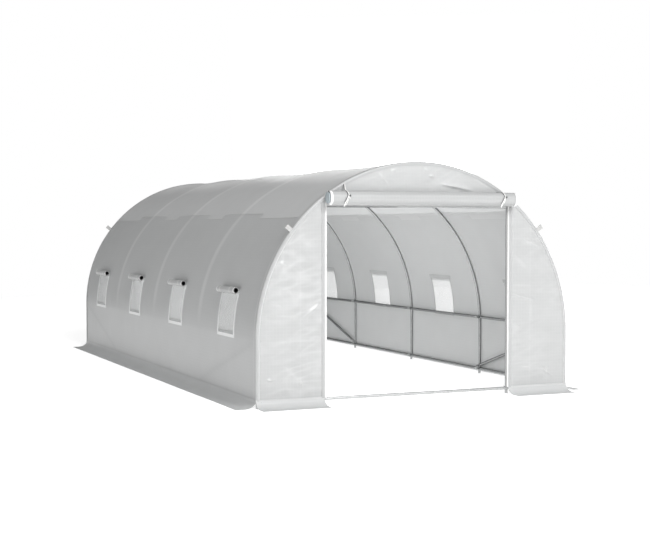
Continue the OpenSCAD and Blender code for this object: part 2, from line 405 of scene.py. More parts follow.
@dataclass(frozen=True)
class MouldedPlastic(Finish):
    """Moulded or extruded plastic: even colour, a fine grain in the gloss."""

    name: str
    tone: str
    roughness: float = 0.45
    grit: float = 1.5 * MM
    gloss_spread: float = 0.1

    def shade(self, tree: NodeTree) -> NodeSocket:
        """Build the plastic's shader in the frame of the whole object.

        Args:
            tree: node tree of the material.

        Returns:
            The socket that the material's output shows.
        """
        place = add_node(tree, "TexCoord").outputs["Object"]
        grit = add_node(tree, "TexNoise", {"Vector": place, "Scale": 1 / self.grit, "Detail": 2.0})
        ends = (self.roughness - self.gloss_spread, self.roughness + self.gloss_spread)
        gloss = remap(tree, grit.outputs["Fac"], stop=ends)
        surface = add_node(
            tree, "BsdfPrincipled", {"Base Color": linear(self.tone), "Roughness": gloss, "IOR": 1.5}
        )
        return surface.outputs["BSDF"]


@dataclass(frozen=True)
class StudioPaint(Finish):
    """Matt white paint on a lit studio floor."""

    name: str = "studio_floor_paint"
    tone: str = "E8E8E8"
    glow: float = 0.64

    def shade(self, tree: NodeTree) -> NodeSocket:
        """Build the floor's shader.

        Args:
            tree: node tree of the material.

        Returns:
            The socket that the material's output shows.
        """
        surface = add_node(
            tree, "BsdfPrincipled",
            {"Base Color": linear(self.tone), "Roughness": 0.9, "Emission Color": linear("FFFFFF"),
             "Emission Strength": self.glow}
        )
        return surface.outputs["BSDF"]


# Walls: thin sheet that glows, with the tubes behind it as soft shadows. The side sheets also carry painted
# shadows of the braces.
COVER_FINISH = WovenPolyethylene("woven_polyethylene_sheet")
# Roof: an even pale grey, with a matt inner face that mirrors no lamp.
ROOF_FINISH = WovenPolyethylene(
    "woven_polyethylene_roof", tone="CACBCB", cloud_tone="C8C9C9", passes=0.08
)
LINING_FINISH = WovenPolyethylene(
    "woven_polyethylene_inner_face", tone="CECFCF", cloud_tone="CCCDCD", passes=0.08, roughness=0.5
)
# Front panels: a little sheer, so that the space behind them shows faintly, and a darker tone than the walls
# as painted shade against the front lamp.
FRONT_FINISH = WovenPolyethylene(
    "woven_polyethylene_front", tone="B8B9B9", cloud_tone="B5B6B6", passes=0.06, sheer=0.06
)
# Gable, rolled door, bindings and skirts: the same sheet in one or more layers, each in a tone of its own.
# The gable's lighter tone is painted light against the shade under the rolled door, and the rolled door's
# darker tone is painted shade against the front lamp.
GABLE_FINISH = WovenPolyethylene("woven_polyethylene_gable", tone="D0D1D1", cloud_tone="CDCECE")
ROLL_FINISH = WovenPolyethylene("woven_polyethylene_door", tone="B5B6B6", cloud_tone="B2B3B3", passes=0.1)
BINDING_FINISH = WovenPolyethylene(
    "woven_polyethylene_binding", tone="EAEBEB", cloud_tone="E7E8E8", passes=0.12, cloud=90 * MM
)
STRIP_FINISH = WovenPolyethylene("woven_polyethylene_strip", tone="D8D9D9", cloud_tone="D5D6D6")
TRIM_FINISH = WovenPolyethylene(
    "polyethylene_binding", tone="EEEEEE", cloud_tone="E8E8E8", passes=0.12, cloud=90 * MM
)
NET_FINISH = PolyethyleneNet()
STEEL_FINISH = GalvanisedSteel()
WEBBING_FINISH = PolypropyleneWebbing()
# Tapes and cords in four greys, each with its own rib.
# Grey webbing inside each window head, as a painted shadow of the rolled flap.
ROLL_SHADOW_FINISH = PolypropyleneWebbing("grey_polypropylene_webbing", "B4B5B5", "A0A1A1")
# Guy loops: webbing toned down to a grey, as painted shade against the front lamp.
LOOP_FINISH = PolypropyleneWebbing("pale_grey_polypropylene_webbing", "BCBCBB", "A2A2A1")
EDGE_FINISH = PolypropyleneWebbing("dull_grey_polypropylene_webbing", "949595", "858686")
# Dark cord beside each door tie, and its knot, as painted shadow.
TIE_SHADOW_FINISH = PolypropyleneWebbing("dark_grey_elastic_cord", "6E6F70", "58595A")
# Small plastic pieces: a satin zip, a dull black pipe, a matt dark strip that paints the shadow under the
# rolled door, and a smooth plug.
ZIP_FINISH = MouldedPlastic("nylon_zip_coil", tone="F4F4F2", roughness=0.42)
BAR_FINISH = MouldedPlastic("black_polyethylene_pipe", tone="17181A", roughness=0.5)
HEADER_SHADOW_FINISH = MouldedPlastic("dark_rubber_seal", tone="34373A", roughness=0.6)
PLUG_FINISH = MouldedPlastic("pale_polypropylene_plug", tone="A6B0B4", roughness=0.4)
FLOOR_FINISH = StudioPaint()


# Making of meshes

def ramp(value: float, low: float, high: float) -> float:
    """Return a smooth step that is 0 at low and 1 at high."""
    share = min(max((value - low) / (high - low), 0.0), 1.0)
    return share * share * (3 - 2 * share)


def ridge(distance: float, width: float) -> float:
    """Return a rounded ridge that is 1 on its line and a half at a distance of width."""
    return 1 / (1 + (distance / width) ** 2)


def make_piece(
    name: str, mesh: BMesh, finish: Finish, slot: Slot, lining: Finish | None = None
) -> Object:
    """Turn a finished mesh into a piece that rides on the frame.

    Args:
        name: the piece's name.
        mesh: its closed mesh, in place, which is freed.
        finish: what it is made of.
        slot: the record's material slot that it belongs to; not used.
        lining: finish of a sheet's inner face, where that differs.

    Returns:
        The new object.
    """
    mesh.normal_update()
    for edge in mesh.edges:
        edge.smooth = edge.is_manifold and edge.calc_face_angle(0.0) < SHARP_EDGE
    for face in mesh.faces:
        face.smooth = True
    data = bpy.data.meshes.new(name)
    mesh.to_mesh(data)
    mesh.free()
    data.materials.append(finish.material())
    if lining:
        data.materials.append(lining.material())
    piece = bpy.data.objects.new(name, data)
    bpy.context.scene.collection.objects.link(piece)
    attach(piece, BODY)
    log.info("%s: %d faces of %s", name, len(data.polygons), finish.name)
    return piece


class SheetCut:
    """A rectangle of sheet on the cutting table, which is ruled, cut out and then hung."""

    # A line that is ruled nearer than this to a point goes through the point.
    near = 0.4 * MM

    def __init__(
        self, across: tuple[float, float], up: tuple[float, float], cell: tuple[float, float]
    ) -> None:
        """Lay the sheet out as a grid.

        Args:
            across: where the sheet starts and ends across the table.
            up: where it starts and ends up the table.
            cell: largest cell of the grid, across and up.
        """
        wide = across[1] - across[0]
        tall = up[1] - up[0]
        self.mesh = bmesh.new()
        bmesh.ops.create_grid(
            self.mesh, x_segments=math.ceil(wide / cell[0]), y_segments=math.ceil(tall / cell[1]), size=0.5
        )
        bmesh.ops.scale(self.mesh, vec=(wide, tall, 1), verts=self.mesh.verts)
        middle = Vector((across[0] + wide / 2, up[0] + tall / 2, 0))
        bmesh.ops.translate(self.mesh, vec=middle, verts=self.mesh.verts)

    def rule(self, axis: int, places: Iterable[float]) -> None:
        """Divide the sheet along straight lines.

        Args:
            axis: 0 for lines that cross the sheet's width, 1 for lines that cross its height.
            places: where each line stands on that axis.
        """
        normal = Vector((1 - axis, axis, 0))
        for place in places:
            bmesh.ops.bisect_plane(
                self.mesh, geom=[*self.mesh.verts, *self.mesh.edges, *self.mesh.faces], dist=self.near,
                plane_co=normal * place, plane_no=normal
            )

    def take_out(self, inside: Callable[[float, float], bool]) -> None:
        """Cut out every cell whose middle lies inside a shape.

        Args:
            inside: test of a point on the table.
        """
        waste = [face for face in self.mesh.faces if inside(*face.calc_center_median().xy)]
        bmesh.ops.delete(self.mesh, geom=waste, context="FACES")

    def shape(self, to_flat: Callable[[float, float], tuple[float, float]]) -> None:
        """Trim the sheet to an outline by moving its points on the table.

        Args:
            to_flat: where a point of the plain rectangle goes on the table.
        """
        for vert in self.mesh.verts:
            vert.co.xy = to_flat(vert.co.x, vert.co.y)

    def hang(
        self,
        place: Place,
        thickness: float,
        turn_over: bool = False,
        pale: Amount | None = None,
        lined: bool = False,
    ) -> BMesh:
        """Move the sheet from the table to its place and give it its thickness, on its inner side.

        The flat cut stays with the mesh as a UV map in metres.

        Args:
            place: where a point of the table hangs.
            thickness: thickness of the sheet.
            turn_over: True where the sheet's face would otherwise look inwards.
            pale: how pale the sheet is at a point of the table, up to 1, and below 0 where it is darker.
            lined: True where the inner face has a finish of its own.

        Returns:
            The closed mesh.
        """
        cut = self.mesh.loops.layers.uv.new("cut")
        worn = self.mesh.verts.layers.float.new("pale")
        for face in self.mesh.faces:
            for loop in face.loops:
                loop[cut].uv = loop.vert.co.xy
        for vert in self.mesh.verts:
            u, v, _ = vert.co
            vert[worn] = pale(u, v) if pale else 0.0
            vert.co = place(u, v)
        if turn_over:
            bmesh.ops.reverse_faces(self.mesh, faces=self.mesh.faces)
        self.mesh.normal_update()
        outer = set(self.mesh.faces)
        bmesh.ops.solidify(self.mesh, geom=self.mesh.faces[:], thickness=thickness)
        for face in self.mesh.faces:
            face.material_index = int(lined and face not in outer)
        return self.mesh


@dataclass(frozen=True)
class Crease:
    """A fold line in a flat sheet, from one point to another, raised or sunk."""

    start: tuple[float, float]
    end: tuple[float, float]
    depth: float = 4 * MM
    width: float = 14 * MM
    thin_end: float = 0.15

    def share(self, u: float, v: float) -> float:
        """Find how far a point belongs to the fold, which is strongest half way along.

        Args:
            u: place of the point across the sheet.
            v: place of the point up the sheet.

        Returns:
            A share from 0 to 1.
        """
        run = Vector(self.end) - Vector(self.start)
        offset = Vector((u, v)) - Vector(self.start)
        along = min(max(offset.dot(run) / run.length_squared, 0.0), 1.0)
        away = (offset - run * along).length
        strength = self.thin_end + (1 - self.thin_end) * math.sin(math.pi * along)
        return ridge(away, self.width) * strength


# The tunnel's sizes

@dataclass(frozen=True)
class Tunnel:
    """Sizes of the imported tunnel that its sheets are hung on, in metres."""

    radius: float
    spring: float
    crease: float
    hoop_radius: float
    tube: float
    hoops: tuple[float, ...]
    end: float
    low_seam: float
    high_seam: float
    # Length of the stretch over each inner hoop where the roof's edge is raised.
    rise: float = 1.05

    @classmethod
    def measured(cls) -> "Tunnel":
        """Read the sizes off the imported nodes.

        Returns:
            The tunnel's sizes.
        """
        wall_low, wall_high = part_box("left_lower_wall")
        hoop_low, hoop_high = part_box("front_hoop")
        names = ("front_hoop", "second_hoop", "middle_hoop", "fourth_hoop", "rear_hoop")
        tube = (hoop_high.y - hoop_low.y) / 2
        spring = wall_high.z
        outer = -wall_low.x
        roof_low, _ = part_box("left_roof")
        _, shoulder_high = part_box("left_shoulder")
        return cls(
            radius=hoop_high.x + SHEET_T + LAYER_GAP, spring=spring, crease=wall_low.z,
            hoop_radius=hoop_high.x - tube, tube=tube,
            hoops=tuple(sum(box.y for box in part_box(name)) / 2 for name in names),
            end=-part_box("front_gable")[0].y,
            low_seam=math.asin((roof_low.z - spring) / (outer - PACKED_T)),
            high_seam=math.asin((shoulder_high.z - spring) / outer)
        )

    @property
    def wall(self) -> float:
        """Height of the upright wall, from the skirt's crease to where the arch starts."""
        return self.spring - self.crease

    @property
    def bay(self) -> float:
        """Distance from one hoop to the next."""
        return self.hoops[1] - self.hoops[0]

    @property
    def bays(self) -> list[float]:
        """Middle of each bay."""
        return [hoop + self.bay / 2 for hoop in self.hoops[:-1]]

    def girth(self, angle: float) -> float:
        """Return the distance up the cover from the crease to an angle of the arch."""
        return self.wall + self.radius * angle

    @property
    def end_plane(self) -> float:
        """Distance of the end sheets' inner plane from the tunnel's middle."""
        return self.end - SHEET_T

    @property
    def whole_girth(self) -> float:
        """Distance over the cover from one crease to the other."""
        return self.girth(math.pi) + self.wall

    def lean(self, girth: float) -> float:
        """Return the angle up the arch from the nearer side: 0 on the walls, a right angle on top."""
        angle = max((girth - self.wall) / self.radius, 0.0)
        return max(min(angle, math.pi - angle), 0.0)

    def free(self, along: float) -> float:
        """Return 0 over a hoop and 1 half way to the next."""
        share = ((along - self.hoops[0]) / self.bay) % 1.0
        return 4 * share * (1 - share)

    def raised(self, along: float) -> bool:
        """Tell whether the roof's stepped edge is raised at a place, as it is at the inner hoops."""
        return any(abs(along - hoop) < self.rise / 2 for hoop in self.hoops[1:-1])

    def roof_edge(self, along: float) -> float:
        """Return how far up the cover the roof's stepped edge lies."""
        return self.girth(self.high_seam if self.raised(along) else self.low_seam)

    @property
    def roof_steps(self) -> list[float]:
        """Places along the tunnel where the roof's edge steps up or down."""
        return [hoop + way * self.rise / 2 for hoop in self.hoops[1:-1] for way in (-1, 1)]

    def off_hoop(self, along: float) -> float:
        """Return the distance to the nearest hoop."""
        return min(abs(along - hoop) for hoop in self.hoops)

    def on_arch(self, girth: float, along: float, lift: float, side: Side = Side.LEFT) -> Vector:
        """Find a point on the cover.

        Args:
            girth: distance up the cover from the crease of that side.
            along: place along the tunnel.
            lift: height over the cover.
            side: the side that girth starts from.

        Returns:
            The point.
        """
        angle = (girth - self.wall) / self.radius
        reach = self.radius + lift
        if angle < 0:
            x, z = reach, self.crease + girth
        elif angle <= math.pi:
            x, z = reach * math.cos(angle), self.spring + reach * math.sin(angle)
        else:
            x, z = -reach, self.spring - (girth - self.girth(math.pi))
        return Vector((side.value * x, along, z))

    def under_arch(self, x: float) -> float:
        """Return the height of the end hoops' axis over a place across the tunnel."""
        return self.spring + math.sqrt(max(self.hoop_radius ** 2 - x ** 2, 0.0))


@dataclass(frozen=True)
class WindowSizes:
    """Place and size of the window openings in the side sheets."""

    width: float
    foot: float
    head: float

    @classmethod
    def measured(cls, tunnel: Tunnel, foot_lift: float = 18 * MM) -> "WindowSizes":
        """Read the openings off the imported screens.

        Args:
            tunnel: sizes of the tunnel.
            foot_lift: height of an opening's foot over the start of the arch, behind the side rail.

        Returns:
            The sizes of every opening.
        """
        _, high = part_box("left_window_screens")
        _, pier_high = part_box("left_window_wall")
        head = math.asin((pier_high.z - tunnel.spring) / -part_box("left_lower_wall")[0].x)
        width = 2 * (high.y - tunnel.bays[-1])
        return cls(width=width, foot=tunnel.wall + foot_lift, head=tunnel.girth(head))


# Cover

@dataclass
class Cover:
    """Two side sheets with window openings, a roof sheet lapped over them, and sleeves on the end hoops."""

    tunnel: Tunnel
    windows: WindowSizes
    lap: float = 34 * MM
    hem: float = 22 * MM
    hem_lift: float = 0.9 * MM
    roof_lift: float = SHEET_T + LAYER_GAP
    roof_sag: float = 12 * MM
    pleat: float = 62 * MM
    pleat_depth: float = 0.8 * MM
    brace_press: float = 2.2 * MM
    sleeve_flange: tuple[float, float] = (36 * MM, 14 * MM)
    piping: float = 7 * MM
    cell: float = 26 * MM
    # How far the sheet goes towards its pale fold tone, or away from it: painted highlights over the hoops
    # and along the crest, painted lightening under the roof's lap, white piping on the sleeves, painted
    # shadows of the braces and painted shade above the side rail.
    hoop_pale: float = 0.32
    crest_pale: float = 0.95
    lap_pale: float = 0.15
    piping_pale: float = 0.35
    brace_dull: float = 0.12
    rail_dull: float = 0.06

    def give(self, girth: float, along: float, seed: float) -> float:
        """Find how far the cover stands over the plain arch: it dips between the hoops and ripples.

        Args:
            girth: distance up the cover.
            along: place along the tunnel.
            seed: a number of its own for each sheet.

        Returns:
            The lift, negative in a dip.
        """
        tunnel = self.tunnel
        free = tunnel.free(along)
        high = ramp(tunnel.lean(girth), math.radians(20), math.radians(75))
        # A broad ripple and a finer one are both stronger towards the crest.
        spot = Vector((along * 2.4, girth * 3.1, seed))
        broad = (0.5 + 2.0 * high) * MM * noise.noise(spot)
        fine = (0.1 + 0.8 * high) * MM * noise.noise(spot * 3.1)
        # Pleats stand at the foot of the wall, in groups, most of all near the tunnel's ends.
        near_foot = ramp(0.34 - girth, 0.0, 0.3) * ramp(girth, 0.0, 0.05)
        corner = 0.3 + ramp(tunnel.end - abs(along), 0.9, 0.2)
        gather = corner * ramp(noise.noise(Vector((along * 1.3, seed, 0.0))), -0.4, 0.4)
        pleats = self.pleat_depth * near_foot * gather * math.sin(math.tau * along / self.pleat)
        sag = WALL_SAG + (self.roof_sag - WALL_SAG) * high
        return (broad + fine + pleats) * min(4 * free, 1.0) - sag * free

    def over_hoop(self, along: float, girth: float) -> float:
        """Return the painted highlight where the bent part of a hoop presses the sheet outwards."""
        bent = ramp(min(girth, self.tunnel.whole_girth - girth), self.tunnel.wall, self.tunnel.wall + 0.3)
        return self.hoop_pale * bent * (1 - ramp(self.tunnel.off_hoop(along), 14 * MM, 72 * MM))

    def on_roof(self, along: float, girth: float) -> float:
        """Find how pale the roof is: painted highlights over the hoops, and in patches along its crest.

        Args:
            along: place along the tunnel.
            girth: distance up the cover.

        Returns:
            A share of the way to the sheet's fold tone.
        """
        crest = ramp(self.tunnel.lean(girth), math.radians(60), math.radians(75))
        patch = 0.75 + 0.5 * noise.noise(Vector((along * 2.2, girth * 3.4, 6.3)))
        return min(self.over_hoop(along, girth) + self.crest_pale * crest * patch, 1.0)

    def over_brace(self, girth: float, along: float, ends: tuple[float, float]) -> float:
        """Return how closely the sheet lies on a brace that presses against it, from 0 to 1.

        Args:
            girth: distance up the sheet from the crease.
            along: place along the tunnel.
            ends: height of the brace's middle line at its low and its high end.

        Returns:
            1 along the brace's line and less beside it.
        """
        inner, outer = self.tunnel.hoops[-2:]
        share = (abs(along) - inner) / (outer - inner)
        line = ends[0] + share * (ends[1] - ends[0]) - self.tunnel.crease
        return ridge(girth - line, 15 * MM) * ramp(share, 0.0, 0.1) * ramp(1 - share, 0.0, 0.1)

    def hoop_lines(self) -> list[float]:
        """Places along the tunnel where the sheet needs finer cells to bend over a hoop."""
        steps = (-40 * MM, -27 * MM, -14 * MM, 0.0, 14 * MM, 27 * MM, 40 * MM)
        return [hoop + step for hoop in self.tunnel.hoops[1:-1] for step in steps]

    def side_sheet(self, side: Side) -> Object:
        """Cut and hang one side sheet, from the skirt to under the roof's lap.

        Args:
            side: side of the tunnel.

        Returns:
            The sheet.
        """
        tunnel, windows = self.tunnel, self.windows
        span = (tunnel.hoops[0], tunnel.hoops[-1])
        top = tunnel.girth(tunnel.high_seam) + self.lap
        half = windows.width / 2
        low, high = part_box("left_braces")
        brace = (low.z + tunnel.tube, high.z - tunnel.tube)
        cut = SheetCut(span, (0.0, top), (self.cell, self.cell))
        cut.rule(0, self.hoop_lines())
        cut.rule(0, [bay + edge for bay in tunnel.bays for edge in (-half, half)])
        cut.rule(1, [windows.foot, windows.head])
        hidden = 2 * MM
        edges = [tunnel.girth(angle) for angle in (tunnel.low_seam, tunnel.high_seam)]
        cut.rule(1, [edge + step for edge in edges for step in (0.0, hidden)])
        cut.rule(0, [place + step for place in tunnel.roof_steps for step in (-hidden, hidden)])

        def in_window(u: float, v: float) -> bool:
            """Tell whether a point of the table lies in a window opening."""
            return windows.foot < v < windows.head and any(abs(u - bay) < half for bay in tunnel.bays)

        def place(u: float, v: float) -> Vector:
            """Hang a point of the table on its side of the tunnel."""
            lift = self.give(v, u, 3.7 * side.value) + self.brace_press * self.over_brace(v, u, brace)
            return tunnel.on_arch(v, u, lift, side)

        def pale(u: float, v: float) -> float:
            """Find how pale the sheet is: painted shadows of the braces, painted shade above the side rail,
            and painted lightening under the roof's lap that offsets the shade of the double layer.

            Args:
                u: place along the tunnel.
                v: distance up the sheet.

            Returns:
                A share of the way to the sheet's fold tone, below 0 where shade is painted.
            """
            # Painted light: the sheet is paler where the roof laps over it, which offsets the shade of the
            # double layer seen from inside.
            if v > tunnel.roof_edge(u) + MM:
                return self.lap_pale
            # Painted shadow: a dark line where a brace lies behind the sheet.
            painted_shade = self.brace_dull * self.over_brace(v, u, brace)
            # Painted shade: the arch above the side rail is a little darker than the upright wall.
            painted_shade += self.rail_dull * ramp(v, tunnel.wall, tunnel.wall + 40 * MM)
            return self.over_hoop(u, v) - painted_shade

        cut.take_out(in_window)
        mesh = cut.hang(place, SHEET_T, side is Side.LEFT, pale)
        name = f"{side.label}_side_sheet"
        piece = make_piece(name, mesh, COVER_FINISH, Slot.COVER)
        nodes = [f"{side.label}_{part}" for part in ("lower_wall", "window_wall", "shoulder")]
        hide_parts(*nodes)
        openings = len(tunnel.bays) * windows.width * (windows.head - windows.foot)
        return piece

    def roof_sheet(self, sewn_on: list[Object]) -> Object:
        """Cut the roof sheet with its stepped edges and hang it over the side sheets.

        Args:
            sewn_on: pieces that are sewn to the sheet; not used.

        Returns:
            The sheet.
        """
        tunnel = self.tunnel
        span = (tunnel.hoops[0], tunnel.hoops[-1])
        low = tunnel.girth(tunnel.low_seam)
        high = tunnel.girth(tunnel.high_seam)
        whole = tunnel.whole_girth
        cut = SheetCut(span, (low, whole - low), (self.cell, self.cell))
        cut.rule(0, self.hoop_lines() + tunnel.roof_steps)
        cut.rule(1, [high, whole - high, high + self.hem, whole - high - self.hem])

        def stepped(u: float, v: float) -> bool:
            """Tell whether a point of the table lies below the raised stretch of the edge at a hoop."""
            return tunnel.raised(u) and not high < v < whole - high

        def place(u: float, v: float) -> Vector:
            """Hang a point of the table over the hoops, raised a little in the hem along both edges."""
            hem = self.hem_lift * ramp(self.hem + tunnel.roof_edge(u) - min(v, whole - v), -4 * MM, 4 * MM)
            return tunnel.on_arch(v, u, self.roof_lift + hem + self.give(v, u, 9.1))

        cut.take_out(stepped)
        mesh = cut.hang(place, SHEET_T, True, self.on_roof, lined=True)
        piece = make_piece("roof_sheet", mesh, ROOF_FINISH, Slot.COVER, LINING_FINISH)
        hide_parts("left_roof", "right_roof")
        return piece

    def sleeve(self, end: End) -> Object:
        """Wrap the sewn sleeve round an end hoop, from the cover to the end sheet.

        Args:
            end: end of the tunnel.

        Returns:
            The sleeve.
        """
        tunnel = self.tunnel
        axis_lift = tunnel.hoop_radius - tunnel.radius
        axis_y = tunnel.hoops[0 if end is End.FRONT else -1]
        round_r = self.roof_lift + self.hem_lift + SHEET_T - axis_lift
        arc = round_r * math.pi / 2
        behind, before = self.sleeve_flange
        cut = SheetCut((0.0, tunnel.whole_girth), (-behind, arc + before), (24 * MM, 5 * MM))
        cut.rule(1, [0.0, arc])

        def place(u: float, v: float) -> Vector:
            """Wrap a point of the table round the hoop.

            Args:
                u: distance along the hoop, from crease to crease.
                v: distance round the hoop's tube, from where the sleeve leaves the cover.

            Returns:
                The point in its place.
            """
            pucker = 0.7 * MM * noise.noise(Vector((u * 16, v * 40, end.value)))
            turn = min(max(v, 0.0), arc) / round_r
            reach = round_r + pucker
            lift = axis_lift + reach * math.cos(turn) - max(v - arc, 0.0)
            out = reach * math.sin(turn) + min(v, 0.0)
            return tunnel.on_arch(u, axis_y + end.value * out, lift)

        def piped(u: float, v: float) -> float:
            """Tell how pale the sleeve is: it has white piping along both edges, which fades out up the
            arch.
            """
            edge = ramp(self.piping - min(v + behind, arc + before - v), -2 * MM, 2 * MM)
            return self.piping_pale * edge * (1 - ramp(tunnel.lean(u), math.radians(30), math.radians(50)))

        mesh = cut.hang(place, SHEET_T, end is End.FRONT, piped)
        return make_piece(f"{end.label}_hoop_sleeve", mesh, COVER_FINISH, Slot.COVER)

    def build(self, loops: list[Object]) -> None:
        """Build the whole cover.

        Args:
            loops: guy loops that are sewn under its sleeves.
        """
        for side in Side:
            self.side_sheet(side)
        self.roof_sheet([self.sleeve(end) for end in End] + loops)


# End sheets

def creases(*rows: tuple[float, ...]) -> tuple[Crease, ...]:
    """Return folds from rows of their start and end in metres, and their depth and width in millimetres."""
    return tuple(Crease(row[0:2], row[2:4], row[4] * MM, row[5] * MM) for row in rows)


# Folds that stand out in the left and right front panels, the gable and the far end.
LEFT_FOLDS = creases(
    (-1.302, 1.194, -1.221, 1.159, 10, 11),
    (-1.382, 0.989, -1.035, 0.907, 7, 12),
    (-1.407, 0.876, -1.272, 0.828, 6, 11),
    (-1.110, 0.718, -0.933, 0.853, 9, 11),
    (-1.443, 0.762, -1.110, 0.730, 7, 12),
    (-1.420, 0.700, -1.180, 0.715, -4, 14),
    (-1.035, 0.565, -0.920, 0.572, 5, 10),
    (-1.440, 0.520, -1.060, 0.545, -3, 16),
    (-1.408, 0.235, -1.347, 0.220, 8, 9),
    (-1.110, 0.231, -1.092, 0.137, 8, 9),
    (-1.280, 0.360, -1.100, 0.200, 4, 20),
    (-1.150, 1.420, -0.960, 1.310, 4, 24),
)
RIGHT_FOLDS = creases(
    (0.920, 0.889, 1.149, 0.834, 9, 11),
    (1.042, 1.368, 1.212, 1.312, 6, 12),
    (0.920, 0.616, 1.009, 0.598, 6, 10),
    (1.221, 0.226, 1.350, 0.142, 9, 10),
    (1.265, 0.150, 1.300, 0.240, -7, 9),
    (0.985, 0.249, 1.116, 0.230, 4, 10),
    (1.122, 0.820, 1.123, 0.640, 3, 9),
    (0.915, 0.969, 1.121, 0.965, 3, 9),
    (0.930, 1.250, 1.090, 1.120, 4, 20),
)
GABLE_FOLDS = creases(
    (0.197, 1.853, 0.506, 1.800, 15, 12),
    (0.082, 1.918, 0.133, 1.919, 8, 9),
    (-0.391, 1.943, -0.303, 1.824, 6, 10),
    (-0.279, 1.956, -0.231, 1.968, 7, 9),
    (0.044, 2.000, 0.070, 1.955, 6, 9),
    (0.530, 1.905, 0.662, 1.824, 6, 11),
)
REAR_FOLDS = creases(
    (-0.9, 1.62, 0.2, 1.50, 5, 26),
    (-0.3, 0.98, 1.1, 0.90, 5, 30),
    (-1.3, 0.62, -0.4, 0.74, 5, 24),
    (0.5, 0.18, 0.9, 0.40, 6, 16),
    (-0.8, 0.15, -0.6, 0.36, 5, 16),
    (0.4, 1.30, 1.1, 1.46, 4, 24),
)


@dataclass
class EndSheet:
    """One sheet of an end wall, cut to the arch above it, with the folds it was packed in."""

    name: str
    tunnel: Tunnel
    end: End
    left: float
    right: float
    foot: float
    nodes: tuple[str, ...]
    creases: tuple[Crease, ...] = ()
    finish: Finish = COVER_FINISH
    sewn_on: tuple[Object, ...] = ()
    pack_fold: tuple[float, float] = (0.37, 0.46)
    crumple: float = 1.0 * MM
    # Height of each ripple, and how many times finer it is than the broadest.
    crinkle: tuple[tuple[float, float], ...] = ((2.6 * MM, 1.0), (1.2 * MM, 3.3), (0.4 * MM, 8.0))
    cell: float = 6.5 * MM
    # Width of the band along its sewn edges in which the sheet comes to lie flat.
    edge_band: float = 70 * MM
    slack: float = 2.0 * MM
    fold_width: float = 9 * MM
    fold_depth: float = 0.4 * MM
    fold_pale: float = 0.04
    crease_gain: float = 1.4
    crease_pale: float = 0.1
    # Depth of a crumple whose painted highlight would be wholly pale.
    crumple_pale: float = 17 * MM

    def settled(self, x: float, z: float) -> float:
        """Find how free a point of the sheet is to stand out.

        Args:
            x: place across the tunnel.
            z: height.

        Returns:
            0 along the sheet's sewn edges and 1 inside.
        """
        inset = self.tunnel.hoop_radius - math.hypot(x, max(z - self.tunnel.spring, 0.0))
        edges = [inset, z - self.foot]
        if self.left > -self.tunnel.hoop_radius:
            edges.append(x - self.left)
        if self.right < self.tunnel.hoop_radius:
            edges.append(self.right - x)
        return ramp(min(edges), 0.0, self.edge_band)

    def folds(self, x: float, z: float) -> float:
        """Find how far a point lies on the folds that the sheet was packed in.

        Args:
            x: place across the tunnel.
            z: height.

        Returns:
            A share of a fold's depth, negative where it is sunk.
        """
        share = 0.0
        for value, step, turn in ((x, self.pack_fold[0], 0), (z, self.pack_fold[1], 1)):
            line = round(value / step)
            sign = 1 if (line + turn) % 2 else -1
            share += sign * ridge(value - line * step, self.fold_width)
        return share

    def crumpled(self, x: float, z: float) -> float:
        """Find how strongly the sheet is crumpled at a point, in patches.

        Args:
            x: place across the tunnel.
            z: height.

        Returns:
            0 where the sheet is smooth, and about 1 on a crumple's line.
        """
        seed = 3.1 * self.end.value + self.left
        patch = 0.55 + 0.9 * noise.noise(Vector((x * 2.1, z * 1.7, seed + 9)))
        level = noise.noise(Vector((x * 4 + z * 2, z * 17 - x * 4, seed)))
        cross = noise.noise(Vector((x * 9 - z * 7, z * 15 + x * 8, seed + 4)))
        lines = (1 - min(2.6 * abs(level), 1.0)) + 0.5 * (1 - min(2.6 * abs(cross), 1.0))
        return max(patch, 0.0) * lines

    def stand_out(self, x: float, z: float) -> float:
        """Find how far the sheet stands out from its flat plane.

        Args:
            x: place across the tunnel.
            z: height.

        Returns:
            The distance.
        """
        spot = Vector((x * 3.3, z * 4.6, self.end.value * 5.0 + self.left))
        soft = sum(size * noise.noise(spot * step) for size, step in self.crinkle)
        drawn = sum(self.crease_gain * crease.depth * crease.share(x, z) for crease in self.creases)
        fine = self.crumple * self.crumpled(x, z) + self.fold_depth * self.folds(x, z)
        return self.settled(x, z) * (self.slack + soft + drawn + fine)

    def pale(self, x: float, z: float) -> float:
        """Find how pale the sheet has gone along its folds, with a painted highlight on its crumples.

        Args:
            x: place across the tunnel.
            z: height.

        Returns:
            A share of the way to the sheet's fold tone.
        """
        packed = self.fold_pale * abs(self.folds(x, z))
        drawn = self.crease_pale * sum(crease.share(x, z) for crease in self.creases)
        painted_crumple_light = self.crumple / self.crumple_pale * self.crumpled(x, z)
        return min(packed + drawn + painted_crumple_light, 0.9)

    def build(self) -> Object:
        """Cut the sheet to the arch and hang it on the end hoop.

        Returns:
            The sheet.
        """
        tunnel = self.tunnel
        reach = tunnel.hoop_radius
        turns = tuple(math.asin(max(min(x / reach, 1.0), -1.0)) for x in (self.left, self.right))
        nearest = 0.0 if self.left < 0 < self.right else min(abs(self.left), abs(self.right))
        tallest = tunnel.under_arch(nearest)
        rows = (tallest - self.foot) / self.cell
        plane = self.end.value * tunnel.end_plane
        columns = (self.right - self.left) / self.cell
        cut = SheetCut(turns, (0.0, 1.0), ((turns[1] - turns[0]) / columns, 1 / rows))

        def trim(turn: float, share: float) -> tuple[float, float]:
            """Fit a point of the plain grid under the arch."""
            x = reach * math.sin(turn)
            return x, self.foot + share * (tunnel.under_arch(x) - self.foot)

        def place(x: float, z: float) -> Vector:
            """Hang a point of the table in the end's plane."""
            return Vector((x, plane + self.end.value * self.stand_out(x, z), z))

